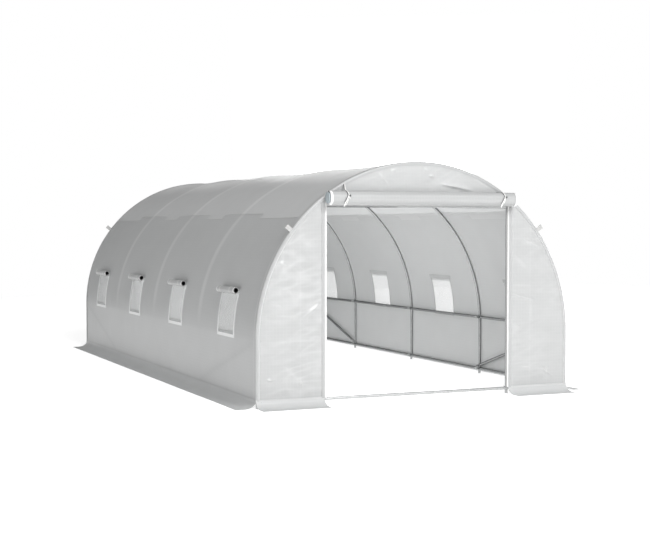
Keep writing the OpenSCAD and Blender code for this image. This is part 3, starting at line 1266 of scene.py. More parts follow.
        cut.shape(trim)
        flat_area = sum(face.calc_area() for face in cut.mesh.faces)
        mesh = cut.hang(place, SHEET_T, self.end is End.REAR, self.pale)
        piece = make_piece(self.name, mesh, self.finish, Slot.COVER)
        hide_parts(*self.nodes)
        list(self.sewn_on)
        return piece


@dataclass
class EndWalls:
    """The front sheets round the doorway and the closed far end."""

    tunnel: Tunnel

    def build(self, edges: dict[Side, list[Object]]) -> None:
        """Build the three front sheets and the rear one.

        Args:
            edges: for each side of the doorway, the pieces that are sewn along it.
        """
        tunnel = self.tunnel
        reach = tunnel.hoop_radius
        door_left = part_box("front_left_panel")[1].x
        door_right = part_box("front_right_panel")[0].x
        door_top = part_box("front_gable")[0].z
        left_trim, right_trim = tuple(edges[Side.LEFT]), tuple(edges[Side.RIGHT])
        sheets = (
            EndSheet("front_left_sheet", tunnel, End.FRONT, -reach, door_left, tunnel.crease,
                     ("front_left_panel",), LEFT_FOLDS, FRONT_FINISH, left_trim, crumple=2.6 * MM),
            EndSheet("front_right_sheet", tunnel, End.FRONT, door_right, reach, tunnel.crease,
                     ("front_right_panel",), RIGHT_FOLDS, FRONT_FINISH, right_trim, crumple=1.3 * MM),
            EndSheet("front_gable_sheet", tunnel, End.FRONT, door_left, door_right, door_top,
                     ("front_gable",), GABLE_FOLDS, GABLE_FINISH, crumple=1.5 * MM),
            EndSheet("rear_sheet", tunnel, End.REAR, -reach, reach, tunnel.crease,
                     ("rear_wall",), REAR_FOLDS, cell=19 * MM),
        )
        for sheet in sheets:
            sheet.build()


# Skirts

@dataclass
class Skirt:
    """A strip sewn along the foot of a wall, which turns out and lies on the ground."""

    name: str
    node: str
    start: float
    stop: float
    origin: Vector
    run: Vector
    out: Vector
    rise: float
    reach: float
    crease_pale: float
    lap: float = 12 * MM
    # Width of the bend, as a multiple of its height.
    spread: float = 1.7
    stand_off: float = 1.6 * MM
    ground_gap: float = 0.4 * MM
    wave: float = 1.6 * MM
    cell: tuple[float, float] = (24 * MM, 7 * MM)

    def build(self) -> Object:
        """Cut the strip and lay it down from the crease, in a bend that is wider than it is high.

        Returns:
            The strip.
        """
        drop = self.rise - SHEET_T - self.ground_gap
        bend = self.spread * drop
        arc = (bend + drop) * math.pi / 4
        width = arc + self.reach - bend
        cut = SheetCut((self.start, self.stop), (-self.lap, width), self.cell)
        cut.rule(1, [0.0])

        def place(u: float, v: float) -> Vector:
            """Lay a point of the table down: over the wall's foot, round the bend, along the ground.

            Args:
                u: place along the wall.
                v: distance across the strip from its crease.

            Returns:
                The point in its place.
            """
            turn = min(max(v, 0.0), arc) / arc * math.pi / 2
            away = bend * (1 - math.cos(turn)) + max(v - arc, 0.0) + self.stand_off
            height = self.rise - drop * math.sin(turn) - min(v, 0.0)
            loose = ramp(v, arc * 0.6, width)
            wave = noise.noise(Vector((u * 1.9, 1.7, len(self.name))))
            height += loose * (max(wave, -0.1) * self.wave + self.ground_gap)
            return self.origin + self.run * u + self.out * away + Vector((0, 0, height))

        def worn(u: float, v: float) -> float:
            """Tell how pale the strip is: most along its sewn crease."""
            return self.crease_pale * ridge(v, 5 * MM)

        turn_over = self.run.cross(Vector((0, 0, -1))).dot(self.out) < 0
        mesh = cut.hang(place, SHEET_T, turn_over, worn)
        piece = make_piece(self.name, mesh, STRIP_FINISH, Slot.COVER)
        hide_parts(self.node)
        return piece


@dataclass
class Skirts:
    """The five ground skirts."""

    tunnel: Tunnel

    def build(self) -> None:
        """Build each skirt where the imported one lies."""
        for side in Side:
            low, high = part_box(f"{side.label}_skirt")
            self.strip(f"{side.label}_skirt", low, high, Vector((0, 1, 0)), Vector((side.value, 0, 0)))
        for node, end in (("front_left_skirt", End.FRONT), ("front_right_skirt", End.FRONT),
                          ("rear_skirt", End.REAR)):
            low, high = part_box(node)
            self.strip(node, low, high, Vector((1, 0, 0)), Vector((0, end.value, 0)))

    def strip(self, node: str, low: Vector, high: Vector, run: Vector, out: Vector) -> None:
        """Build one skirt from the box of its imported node.

        Args:
            node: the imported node.
            low: lowest corner of its box.
            high: highest corner of its box.
            run: direction along the wall.
            out: direction away from the wall.
        """
        across = sorted((low.dot(out), high.dot(out)))
        inner = across[0] + PACKED_T - SHEET_T
        Skirt(
            name=f"{node}_sheet", node=node, start=low.dot(run), stop=high.dot(run), origin=out * inner,
            run=run, out=out, rise=high.z, reach=across[1] - inner - Skirt.stand_off,
            crease_pale=0.5 * abs(out.y)
        ).build()


# Rolled sheets

@dataclass(frozen=True)
class Winding:
    """Path of a sheet that comes down from a seam and is wound up in front of it.

    The path is in a plane across the roll. Its first number is the distance out from the wall, and its
    second the height over the roll's middle.
    """

    stand: float
    radius: float
    pitch: float
    length: float
    hang: float
    gap: float = 0.6 * MM

    @property
    def hollow(self) -> float:
        """Radius of the hollow that the winding leaves."""
        return self.radius - self.pitch * self.turn(self.length) / math.tau

    def at(self, run: float, slack: float = 0.0) -> tuple[float, float]:
        """Find a point of the winding.

        Args:
            run: distance along the sheet from its seam.
            slack: how far the sheet stands over its plain winding.

        Returns:
            Distance out from the wall, and height over the roll's middle.
        """
        if run < self.hang:
            share = run / self.hang
            out = (self.stand - self.radius) * ramp(share, 0.0, 1.0) + self.gap
            return out, self.hang * (1 - share)
        turn = self.turn(run)
        reach = self.radius - self.pitch * turn / math.tau + slack
        return self.stand - reach * math.cos(turn), -reach * math.sin(turn)

    def turn(self, run: float) -> float:
        """Return the angle that the winding has gone through at a distance along the sheet."""
        inside = self.radius ** 2 - self.pitch * max(run - self.hang, 0.0) / math.pi
        return (self.radius - math.sqrt(max(inside, 0.0))) * math.tau / self.pitch


@dataclass
class WoundSheet:
    """A sheet that is rolled up and tied."""

    name: str
    node: str
    winding: Winding
    half: float
    seam: Vector
    run: Vector
    out: Vector
    up: Vector
    cell: tuple[float, float]
    seed: float
    edge_tape: float
    taper: float = 0.0
    finish: Finish = COVER_FINISH
    shift: float = 3 * MM
    dent: float = 1.0 * MM
    thickness: float = 0.8 * MM
    # Lines along the roll where it was pressed flat, and their width, as shares of a turn.
    pressed: tuple[float, ...] = (0.36, 0.5, 0.63, 0.76)
    pressed_width: float = 0.022

    def flats(self, turn: float, u: float) -> float:
        """Return how deep the roll is pressed in: about 1 on a pressed line, and less beside it."""
        aim = turn / math.tau + 0.12 * noise.noise(Vector((u * 0.9, self.seed, 2.0)))
        return sum(ridge((aim - line + 0.5) % 1.0 - 0.5, self.pressed_width) for line in self.pressed)

    def spot(self, u: float, out: float, up: float) -> Vector:
        """Return the point at a place along the roll, out from the wall and up from the roll's middle."""
        return self.seam + self.run * u + self.out * out + self.up * up

    def outside(self, u: float, turn: float, reach: float) -> Vector:
        """Return the point at a place along the roll, at an angle and a distance from its middle."""
        return self.spot(u, self.winding.stand - reach * math.cos(turn), -reach * math.sin(turn))

    def build(self) -> Object:
        """Cut the sheet and roll it up.

        Returns:
            The rolled sheet.
        """
        length = self.winding.length
        cut = SheetCut((-self.half, self.half), (0.0, length), self.cell)
        cut.rule(1, [self.winding.hang])
        inner = self.half - self.edge_tape
        cut.rule(0, [-inner - MM, -inner + MM, inner - MM, inner + MM])

        def taped(u: float, v: float) -> float:
            """Tell how pale the sheet is: it has a white tape along both edges."""
            edge = ramp(abs(u), inner - MM, inner + MM)
            return edge * ramp(v, 0.5 * self.winding.hang, self.winding.hang)

        def place(u: float, v: float) -> Vector:
            """Roll a point of the table up, with turns that slip sideways and flats along the roll.

            Args:
                u: place along the roll.
                v: distance from the seam.

            Returns:
                The point in its place.
            """
            turn = self.winding.turn(v)
            face = Vector((math.cos(turn) * 1.3, math.sin(turn) * 1.3, u * 1.1 + self.seed))
            slack = self.dent * noise.noise(face) + 0.5 * self.dent * noise.noise(face * 2.3)
            slack -= self.dent * self.flats(turn, u)
            slip = self.shift * noise.noise(Vector((turn * 0.35, self.seed, math.copysign(1.0, u))))
            out, up = self.winding.at(v, slack * ramp(turn, 0.0, 1.0))
            drawn_in = 1 - self.taper / self.half * (1 - ramp(v, 0.0, self.winding.hang))
            return self.spot((u + slip * abs(u) / self.half) * drawn_in, out, up)

        turn_over = self.run.cross(self.up).dot(self.out) > 0
        mesh = cut.hang(place, self.thickness, turn_over, taped)
        piece = make_piece(self.name, mesh, self.finish, Slot.COVER)
        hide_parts(self.node)
        return piece


def tape(
    name: str,
    path: Path,
    length: float,
    width: float,
    thickness: float = 1.0 * MM,
    step: float = 6 * MM,
    finish: Finish = WEBBING_FINISH,
) -> Object:
    """Lay a flat tape along a path.

    Args:
        name: name of the piece.
        path: for a distance along the tape, its middle and the direction across it.
        length: length of the tape.
        width: width of the tape.
        thickness: thickness of the tape.
        step: largest cell along the tape.
        finish: what the tape is made of.

    Returns:
        The tape.
    """
    cut = SheetCut((-width / 2, width / 2), (0.0, length), (width / 3, step))

    def place(u: float, v: float) -> Vector:
        """Lay a point of the table on the path."""
        middle, across = path(v)
        return middle + across * u

    return make_piece(name, cut.hang(place, thickness), finish, Slot.WEBBING)


# Windows

@dataclass
class Window:
    """One window: a screen, its binding, and a flap that is rolled up over it and tied."""

    tunnel: Tunnel
    sizes: WindowSizes
    side: Side
    number: int
    binding_side: float = 21 * MM
    binding_foot: float = 20 * MM
    binding_head: float = 18 * MM
    overlap: float = 7 * MM
    behind: float = -SHEET_T - 0.9 * MM
    before: float = SHEET_T + 0.5 * MM
    dip: float = 0.4 * MM
    screen_t: float = 0.4 * MM
    # Length and height of the grey strip that paints the rolled flap's shadow.
    facing: tuple[float, float] = (0.45, 34 * MM)
    # The flap is long enough to close the opening with some overlap.
    flap_length: float = 0.43
    flap_hang: float = 30 * MM
    flap_pitch: float = 3.0 * MM
    bar_gap: float = 2.6 * MM
    bar_wall: float = 2 * MM
    bar_short: float = 4 * MM
    tie_offset: float = 0.125
    tie_width: float = 12 * MM
    tie_gap: float = 1.6 * MM

    @property
    def middle(self) -> float:
        """Place of the window's middle along the tunnel."""
        return self.tunnel.bays[self.number]

    def called(self, part: str) -> str:
        """Return the name of a part of this window."""
        return f"{self.side.label}_{part}_{self.number + 1}"

    def on_cover(self, lift: float) -> Place:
        """Lay a flat piece round this window.

        Args:
            lift: height of the piece over the cover.

        Returns:
            Where a point of the table goes.
        """
        tunnel, middle = self.tunnel, self.middle
        seed = self.number + 10 * self.side.value

        def place(u: float, v: float) -> Vector:
            """Lay a point of the table on the arch."""
            rise = lift + self.dip * noise.noise(Vector((u * 12, v * 12, seed)))
            return tunnel.on_arch(v, middle + u, rise - WALL_SAG * tunnel.free(middle + u), self.side)

        return place

    def screen(self) -> Object:
        """Stretch the screen behind the opening.

        Returns:
            The screen.
        """
        sizes = self.sizes
        half = sizes.width / 2 + self.overlap
        up = (sizes.foot - self.overlap, sizes.head + self.overlap)
        cut = SheetCut((-half, half), up, (26 * MM, 26 * MM))
        mesh = cut.hang(self.on_cover(self.behind), self.screen_t, self.side is Side.LEFT)
        piece = make_piece(self.called("window_screen"), mesh, NET_FINISH, Slot.SCREEN)
        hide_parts(f"{self.side.label}_window_screens")
        return piece

    def binding(self) -> Object:
        """Sew the pale binding round the opening.

        Returns:
            The binding.
        """
        sizes = self.sizes
        half = sizes.width / 2
        cut = SheetCut(
            (-half - self.binding_side, half + self.binding_side),
            (sizes.foot - self.binding_foot, sizes.head + self.binding_head),
            (20 * MM, 16 * MM),
        )
        inner = half - self.overlap
        foot, head = sizes.foot + self.overlap, sizes.head - self.overlap
        cut.rule(0, [-inner, inner])
        cut.rule(1, [foot, head])
        cut.take_out(lambda u, v: abs(u) < inner and foot < v < head)
        mesh = cut.hang(self.on_cover(self.before), SHEET_T, self.side is Side.LEFT)
        return make_piece(self.called("window_binding"), mesh, BINDING_FINISH, Slot.COVER)

    def head_facing(self) -> Object:
        """Sew a grey webbing inside the sheet, behind the seam that carries the flap, as a painted shadow of
        the rolled flap.

        Returns:
            The webbing.
        """
        half = self.facing[0] / 2
        foot = self.sizes.head + self.overlap + MM
        cut = SheetCut((-half, half), (foot, foot + self.facing[1]), (24 * MM, 18 * MM))
        mesh = cut.hang(self.on_cover(self.behind), MM, self.side is Side.LEFT)
        return make_piece(self.called("window_facing"), mesh, ROLL_SHADOW_FINISH, Slot.WEBBING)

    def roll(self) -> WoundSheet:
        """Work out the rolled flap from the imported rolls.

        Returns:
            The flap, ready to build.
        """
        low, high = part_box(f"{self.side.label}_flap_rolls")
        centre = (low + high) / 2
        lean = math.atan2(centre.z - self.tunnel.spring, abs(centre.x))
        out, up = self.side.axes(lean)
        surface = self.tunnel.radius + SHEET_T + LAYER_GAP - WALL_SAG
        stand = math.hypot(centre.x, centre.z - self.tunnel.spring) - surface
        seam = Vector((0, self.middle, self.tunnel.spring)) + out * surface
        winding = Winding(
            stand, (high.z - low.z) / 2, self.flap_pitch, length=self.flap_length, hang=self.flap_hang
        )
        return WoundSheet(
            name=self.called("window_flap"), node=f"{self.side.label}_flap_rolls", winding=winding,
            half=high.y - self.tunnel.bays[-1], seam=seam, run=Vector((0, 1, 0)), out=out, up=up,
            cell=(30 * MM, 5 * MM), seed=self.number * 3.1 + self.side.value, edge_tape=16 * MM
        )

    def bar(self, roll: WoundSheet) -> Object:
        """Put the pipe that the flap is wound on into its roll. Its black also paints the shade deep in the
        roll's hollow.

        Args:
            roll: the rolled flap.

        Returns:
            The pipe.
        """
        winding = roll.winding
        reach = winding.hollow - self.bar_gap
        mesh = bmesh.new()
        rim = bmesh.ops.create_circle(mesh, cap_ends=False, radius=reach, segments=40)["verts"]
        edges = list({edge for vert in rim for edge in vert.link_edges})
        drawn = bmesh.ops.extrude_edge_only(mesh, edges=edges)["geom"]
        length = 2 * (roll.half - self.bar_short)
        moved = [item for item in drawn if isinstance(item, BMVert)]
        bmesh.ops.translate(mesh, vec=(0, 0, length), verts=moved)
        bmesh.ops.recalc_face_normals(mesh, faces=mesh.faces)
        bmesh.ops.solidify(mesh, geom=mesh.faces[:], thickness=self.bar_wall)
        axes = Matrix((roll.up, roll.out, roll.run)).transposed().to_4x4()
        axes.translation = roll.spot(-length / 2, winding.stand, 0.0)
        bmesh.ops.transform(mesh, matrix=axes, verts=mesh.verts)
        bmesh.ops.recalc_face_normals(mesh, faces=mesh.faces)
        return make_piece(self.called("flap_bar"), mesh, BAR_FINISH, Slot.COVER)

    def tie(self, roll: WoundSheet, offset: float, label: str) -> Object:
        """Tie the roll with a tape from the seam, round its front and back.

        Args:
            roll: the rolled flap.
            offset: place of the tie along the roll.
            label: letter of the tie in its name.

        Returns:
            The tape.
        """
        reach = roll.winding.radius + self.tie_gap
        start = math.radians(-70)
        length = reach * math.radians(330)

        def path(run: float) -> tuple[Vector, Vector]:
            """Follow the roll's outside, with a slant that lets the tape's ends pass each other."""
            sideways = offset + (run / length - 0.5) * 8 * MM
            return roll.outside(sideways, start + run / reach, reach), roll.run

        return tape(self.called(f"flap_tie_{label}"), path, length, self.tie_width)

    def build(self) -> None:
        """Build the window's pieces."""
        screen = self.screen()
        binding = self.binding()
        self.head_facing()
        roll = self.roll()
        flap = roll.build()
        bar = self.bar(roll)
        ties = [self.tie(roll, -self.tie_offset, "a"), self.tie(roll, self.tie_offset, "b")]


# Door

@dataclass
class Door:
    """The door sheet, rolled up over the doorway, with its ties, and the zips at the doorway's sides."""

    tunnel: Tunnel
    tie_width: float = 8 * MM
    tail_width: float = 9 * MM
    tie_places: tuple[float, float] = (-0.744, 0.755)
    tie_anchors: tuple[float, float] = (54 * MM, 3 * MM)
    left_short: float = 20 * MM
    roll_lift: float = 3.5 * MM
    plug_reach: float = 6 * MM
    hem: float = 26 * MM
    guard: float = 17 * MM
    # Length of the dark strip that paints the shadow under the rolled door.
    strip: float = 0.68
    tooth_step: float = 7 * MM
    tooth: tuple[float, float] = (6 * MM, 3.4 * MM)
    zip_tapes: tuple[float, float] = (20 * MM, 17 * MM)
    # Width and thickness of the dark cord that paints each tie's shadow.
    cord: tuple[float, float] = (6 * MM, 2 * MM)
    knot: tuple[float, float, float] = (9 * MM, 6 * MM, 9 * MM)
    # The door is as long as the doorway is high.
    length: float = 1.62
    hang: float = 62 * MM
    pitch: float = 2.3 * MM

    def roll(self) -> WoundSheet:
        """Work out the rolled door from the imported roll.

        Returns:
            The door sheet, ready to build.
        """
        low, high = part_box("door_roll")
        centre = (low + high) / 2
        seam_y = -self.tunnel.end_plane - PACKED_T
        winding = Winding(
            stand=seam_y - centre.y, radius=(high.z - low.z) / 2 - PACKED_T, pitch=self.pitch,
            length=self.length, hang=self.hang
        )
        return WoundSheet(
            name="door_sheet", node="door_roll", winding=winding, half=high.x - self.left_short / 2,
            seam=Vector((self.left_short / 2, seam_y, centre.z + self.roll_lift)),
            run=Vector((1, 0, 0)), out=Vector((0, -1, 0)), up=Vector((0, 0, 1)), cell=(31 * MM, 7 * MM),
            seed=4.4, edge_tape=21 * MM, taper=80 * MM, finish=ROLL_FINISH, shift=4 * MM, dent=2.2 * MM
        )

    def tie(self, roll: WoundSheet, side: Side) -> list[Object]:
        """Tie the roll at one place: a tape from the gable, one from below, a knot, a tail and a dark cord
        that paints the tapes' shadow.

        Args:
            roll: the rolled door.
            side: side of the doorway that the tie is nearer to.

        Returns:
            The pieces of the tie.
        """
        label = side.label
        offset = self.tie_places[side is Side.RIGHT]
        anchor = self.tie_anchors[side is Side.RIGHT]
        winding = roll.winding
        reach = winding.radius + 2.2 * MM
        # Angles round the roll: the knot, its top, the lower tape's start, and where the tail hangs free.
        knot_turn, top_turn, low_turn, free_turn = (math.radians(angle) for angle in (196, 268, 10, 150))
        proud = 3 * MM
        over = reach * (math.tau * 0.75 - knot_turn)
        foot_length = reach * (knot_turn - low_turn)

        def round_roll(turn: float, lean: float) -> Vector:
            """Return a point on the roll's outside, at an angle and a distance to the right."""
            return roll.outside(offset + lean, turn, reach)

        def from_above(run: float) -> tuple[Vector, Vector]:
            """Come down the gable, over the top of the roll and down its front to the knot."""
            top = round_roll(top_turn, 0.0)
            start = roll.spot(offset + 0.45 * anchor, 1.6 * MM, winding.radius + anchor)
            first = (top - start).length
            if run < first:
                spot = start.lerp(top, run / first)
            else:
                share = (run - first) / over
                spot = round_roll(top_turn - (run - first) / reach, 10 * MM * share)
            return spot, Vector((0.97, 0, 0.1)).normalized()

        def from_below(run: float) -> tuple[Vector, Vector]:
            """Come from behind, under the roll and up its front to the knot."""
            spot = round_roll(low_turn + run / reach, 26 * MM * run / foot_length - 22 * MM)
            return spot, Vector((-0.97, 0, 0.1)).normalized()

        def tail(run: float) -> tuple[Vector, Vector]:
            """Fall from the knot down the front of the roll, and hang free below it."""
            held = (knot_turn - free_turn) * (reach + proud)
            turn = max(knot_turn - run / (reach + proud), free_turn)
            spot = round_roll(turn, 4 * MM - 0.42 * run) + roll.out * proud
            spot -= roll.up * max(run - held, 0.0)
            return spot, Vector((0.9, -0.1, -0.4)).normalized()

        def beside(path: Path) -> Path:
            """Return the path of the dark cord along the left edge of a tape, which paints the tape's shadow
            on the roll.
            """
            return lambda run: (path(run)[0] - roll.run * 9 * MM - roll.out * 0.8 * MM, path(run)[1])

        top_length = anchor + over + 62 * MM
        tapes = [
            tape(f"door_tie_top_{label}", from_above, top_length, self.tie_width, 1.2 * MM),
            tape(f"door_tie_cord_{label}", beside(from_above), top_length, *self.cord, finish=TIE_SHADOW_FINISH),
            tape(f"door_tie_cord_end_{label}", beside(tail), 60 * MM, *self.cord, finish=TIE_SHADOW_FINISH),
            tape(f"door_tie_foot_{label}", from_below, foot_length, self.tie_width),
            tape(f"door_tie_tail_{label}", tail, 95 * MM, self.tail_width),
        ]
        # The knot takes the dark cord's grey, as painted shade.
        mesh = bmesh.new()
        bmesh.ops.create_icosphere(mesh, subdivisions=3, radius=1.0)
        for vert in mesh.verts:
            vert.co *= 1 + 0.22 * noise.noise(vert.co * 2.2)
        bmesh.ops.scale(mesh, vec=self.knot, verts=mesh.verts)
        bmesh.ops.translate(mesh, vec=round_roll(knot_turn, 17 * MM) + roll.out * proud, verts=mesh.verts)
        mesh.loops.layers.uv.new("cut")
        tapes.append(make_piece(f"door_tie_knot_{label}", mesh, TIE_SHADOW_FINISH, Slot.WEBBING))
        return tapes

    def plug(self, roll: WoundSheet, side: Side) -> Object:
        """Close one end of the roll's hollow with the plug of its bar.

        Args:
            roll: the rolled door.
            side: side of the doorway that the end is on.

        Returns:
            The plug.
        """
        winding = roll.winding
        radius = winding.hollow - 3 * MM
        mesh = bmesh.new()
        bmesh.ops.create_cone(
            mesh, cap_ends=True, segments=56, radius1=radius, radius2=radius, depth=10 * MM
        )
        rims = [edge for edge in mesh.edges if edge.calc_face_angle(0.0) > SHARP_EDGE]
        bmesh.ops.bevel(
            mesh, geom=rims, offset=2 * MM, segments=2, profile=0.5, affect="EDGES", material=-1
        )
        bmesh.ops.rotate(mesh, matrix=Matrix.Rotation(math.pi / 2, 3, "Y"), verts=mesh.verts)
        spot = roll.spot(side.value * (roll.half + self.plug_reach), winding.stand, 0.0)
        bmesh.ops.translate(mesh, vec=spot, verts=mesh.verts)
        return make_piece(f"door_roll_{side.label}_plug", mesh, PLUG_FINISH, Slot.COVER)

    def edge(self, side: Side) -> list[Object]:
        """Sew a hem and a zip to the doorway's side.

        Args:
            side: side of the doorway.

        Returns:
            The hem, and the tape and teeth of the zip.
        """
        low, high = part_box(f"front_{side.label}_panel")
        edge = high.x if side is Side.LEFT else low.x
        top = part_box("front_gable")[0].z + 30 * MM
        foot = self.tunnel.crease
        plane = -self.tunnel.end_plane
        inward = -side.value
        zip_tape = self.zip_tapes[side is Side.RIGHT]

        def strip(name: str, start: float, width: float, lift: float, finish: Finish) -> Object:
            """Hang an upright strip beside the doorway.

            Args:
                name: name of the piece.
                start: where the strip starts, as a distance into the doorway.
                width: width of the strip.
                lift: how far it lies before the end sheets' plane.
                finish: what it is made of.

            Returns:
                The strip.
            """
            cut = SheetCut((start, start + width), (foot, top), (6 * MM, 24 * MM))

            def place(u: float, v: float) -> Vector:
                """Stand a point of the table beside the doorway."""
                pucker = 0.6 * MM * noise.noise(Vector((u * 30, v * 14, side.value)))
                return Vector((edge + inward * u, plane - lift - pucker, v))

            mesh = cut.hang(place, SHEET_T, side is Side.RIGHT)
            return make_piece(name, mesh, finish, Slot.COVER)

        hem = strip(f"front_{side.label}_hem", -self.hem, self.hem + MM, 3.4 * MM, COVER_FINISH)
        backing = strip(f"door_{side.label}_zip_tape", -2 * MM, zip_tape, 1.2 * MM, TRIM_FINISH)
        mesh = bmesh.new()
        count = int((top - foot) / self.tooth_step)
        for number in range(count):
            tooth = bmesh.ops.create_cube(mesh, size=1.0)["verts"]
            bmesh.ops.scale(mesh, vec=(*self.tooth, 0.6 * self.tooth_step), verts=tooth)
            x = edge + inward * (zip_tape - self.tooth[0])
            z = foot + (number + 0.5) * self.tooth_step
            bmesh.ops.translate(mesh, vec=(x, plane - 2.4 * MM, z), verts=tooth)
        bmesh.ops.bevel(
            mesh, geom=mesh.edges[:], offset=0.9 * MM, segments=1, profile=0.5, affect="EDGES", material=-1
        )
        teeth = make_piece(f"door_{side.label}_zip_teeth", mesh, ZIP_FINISH, Slot.COVER)
        pieces = [hem, backing, teeth]
        if side is Side.RIGHT:
            guard = (zip_tape - 3 * MM, self.guard, 0.4 * MM)
            pieces.append(strip("door_right_zip_guard", *guard, EDGE_FINISH))
        return pieces

    def head_strip(self) -> Object:
        """Wrap a dark strip round the foot of the header, where it runs out along the doorway, as a painted
        shadow under the rolled door.

        Returns:
            The strip.
        """
        low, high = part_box("door_header")
        radius = (high.z - low.z) / 2
        middle = (low + high) / 2
        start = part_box("front_left_panel")[1].x + 4 * MM
        reach = radius + 0.9 * MM
        cut = SheetCut((start, start + self.strip), (0.0, 1.0), (20 * MM, 0.2))

        def place(u: float, v: float) -> Vector:
            """Wrap a point of the table round the tube, less and less to the right."""
            turn = v + (1 - v) * (1.35 * (u - start) / self.strip - 0.5)
            return Vector((u, middle.y - reach * math.sin(turn), middle.z - reach * math.cos(turn)))

        return make_piece("door_head_strip", cut.hang(place, 0.8 * MM), HEADER_SHADOW_FINISH, Slot.WEBBING)

    def build(self) -> None:
        """Build the rolled door and its ties."""
        roll = self.roll()
        door = roll.build()
        pieces = self.tie(roll, Side.LEFT) + self.tie(roll, Side.RIGHT) + [self.head_strip()]
        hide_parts("door_ties")
        for side in Side:
            pieces.append(self.plug(roll, side))


# Guy loops

@dataclass
class GuyLoops:
    """Webbing loops for guy lines, sewn under the sleeves at the shoulders of both ends."""

    tunnel: Tunnel
    width: float = 38 * MM
    reach: float = 58 * MM
    spread: float = 5 * MM
    root: float = 24 * MM

    def build(self) -> list[Object]:
        """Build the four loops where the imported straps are.

        Returns:
            The loops.
        """
        low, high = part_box("guy_straps")
        lean = math.atan2((low.z + high.z) / 2 - self.tunnel.spring, high.x - 20 * MM)
        loops = [self.loop(side, end, lean) for side in Side for end in End]
        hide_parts("guy_straps")
        return loops

    def loop(self, side: Side, end: End, lean: float) -> Object:
        """Fold one loop: out from the seam of the end sheet, round, and back.

        Args:
            side: side of the tunnel.
            end: end of the tunnel.
            lean: angle up the arch.

        Returns:
            The loop.
        """
        tunnel = self.tunnel
        along = end.value * (tunnel.end - 5 * MM)
        base = tunnel.on_arch(tunnel.girth(lean), along, 0.0, side)
        out, up = side.axes(lean)
        leg = self.root + self.reach - self.spread
        bend = math.pi * self.spread

        def path(run: float) -> tuple[Vector, Vector]:
            """Follow the loop's side view: a leg, a round tip, and the other leg."""
            if run < leg:
                away, across = run - self.root, self.spread * ramp(run, self.root, leg)
            elif run < leg + bend:
                turn = (run - leg) / self.spread
                away = leg - self.root + self.spread * math.sin(turn)
                across = self.spread * math.cos(turn)
            else:
                back = 2 * leg + bend - run
                away, across = back - self.root, -self.spread * ramp(back, self.root, leg)
            return base + out * away + Vector((0, across, 0)), up

        name = f"{end.label}_{side.label}_guy_loop"
        return tape(name, path, 2 * leg + bend, self.width, 1.4 * MM, 3 * MM, LOOP_FINISH)


# Frame

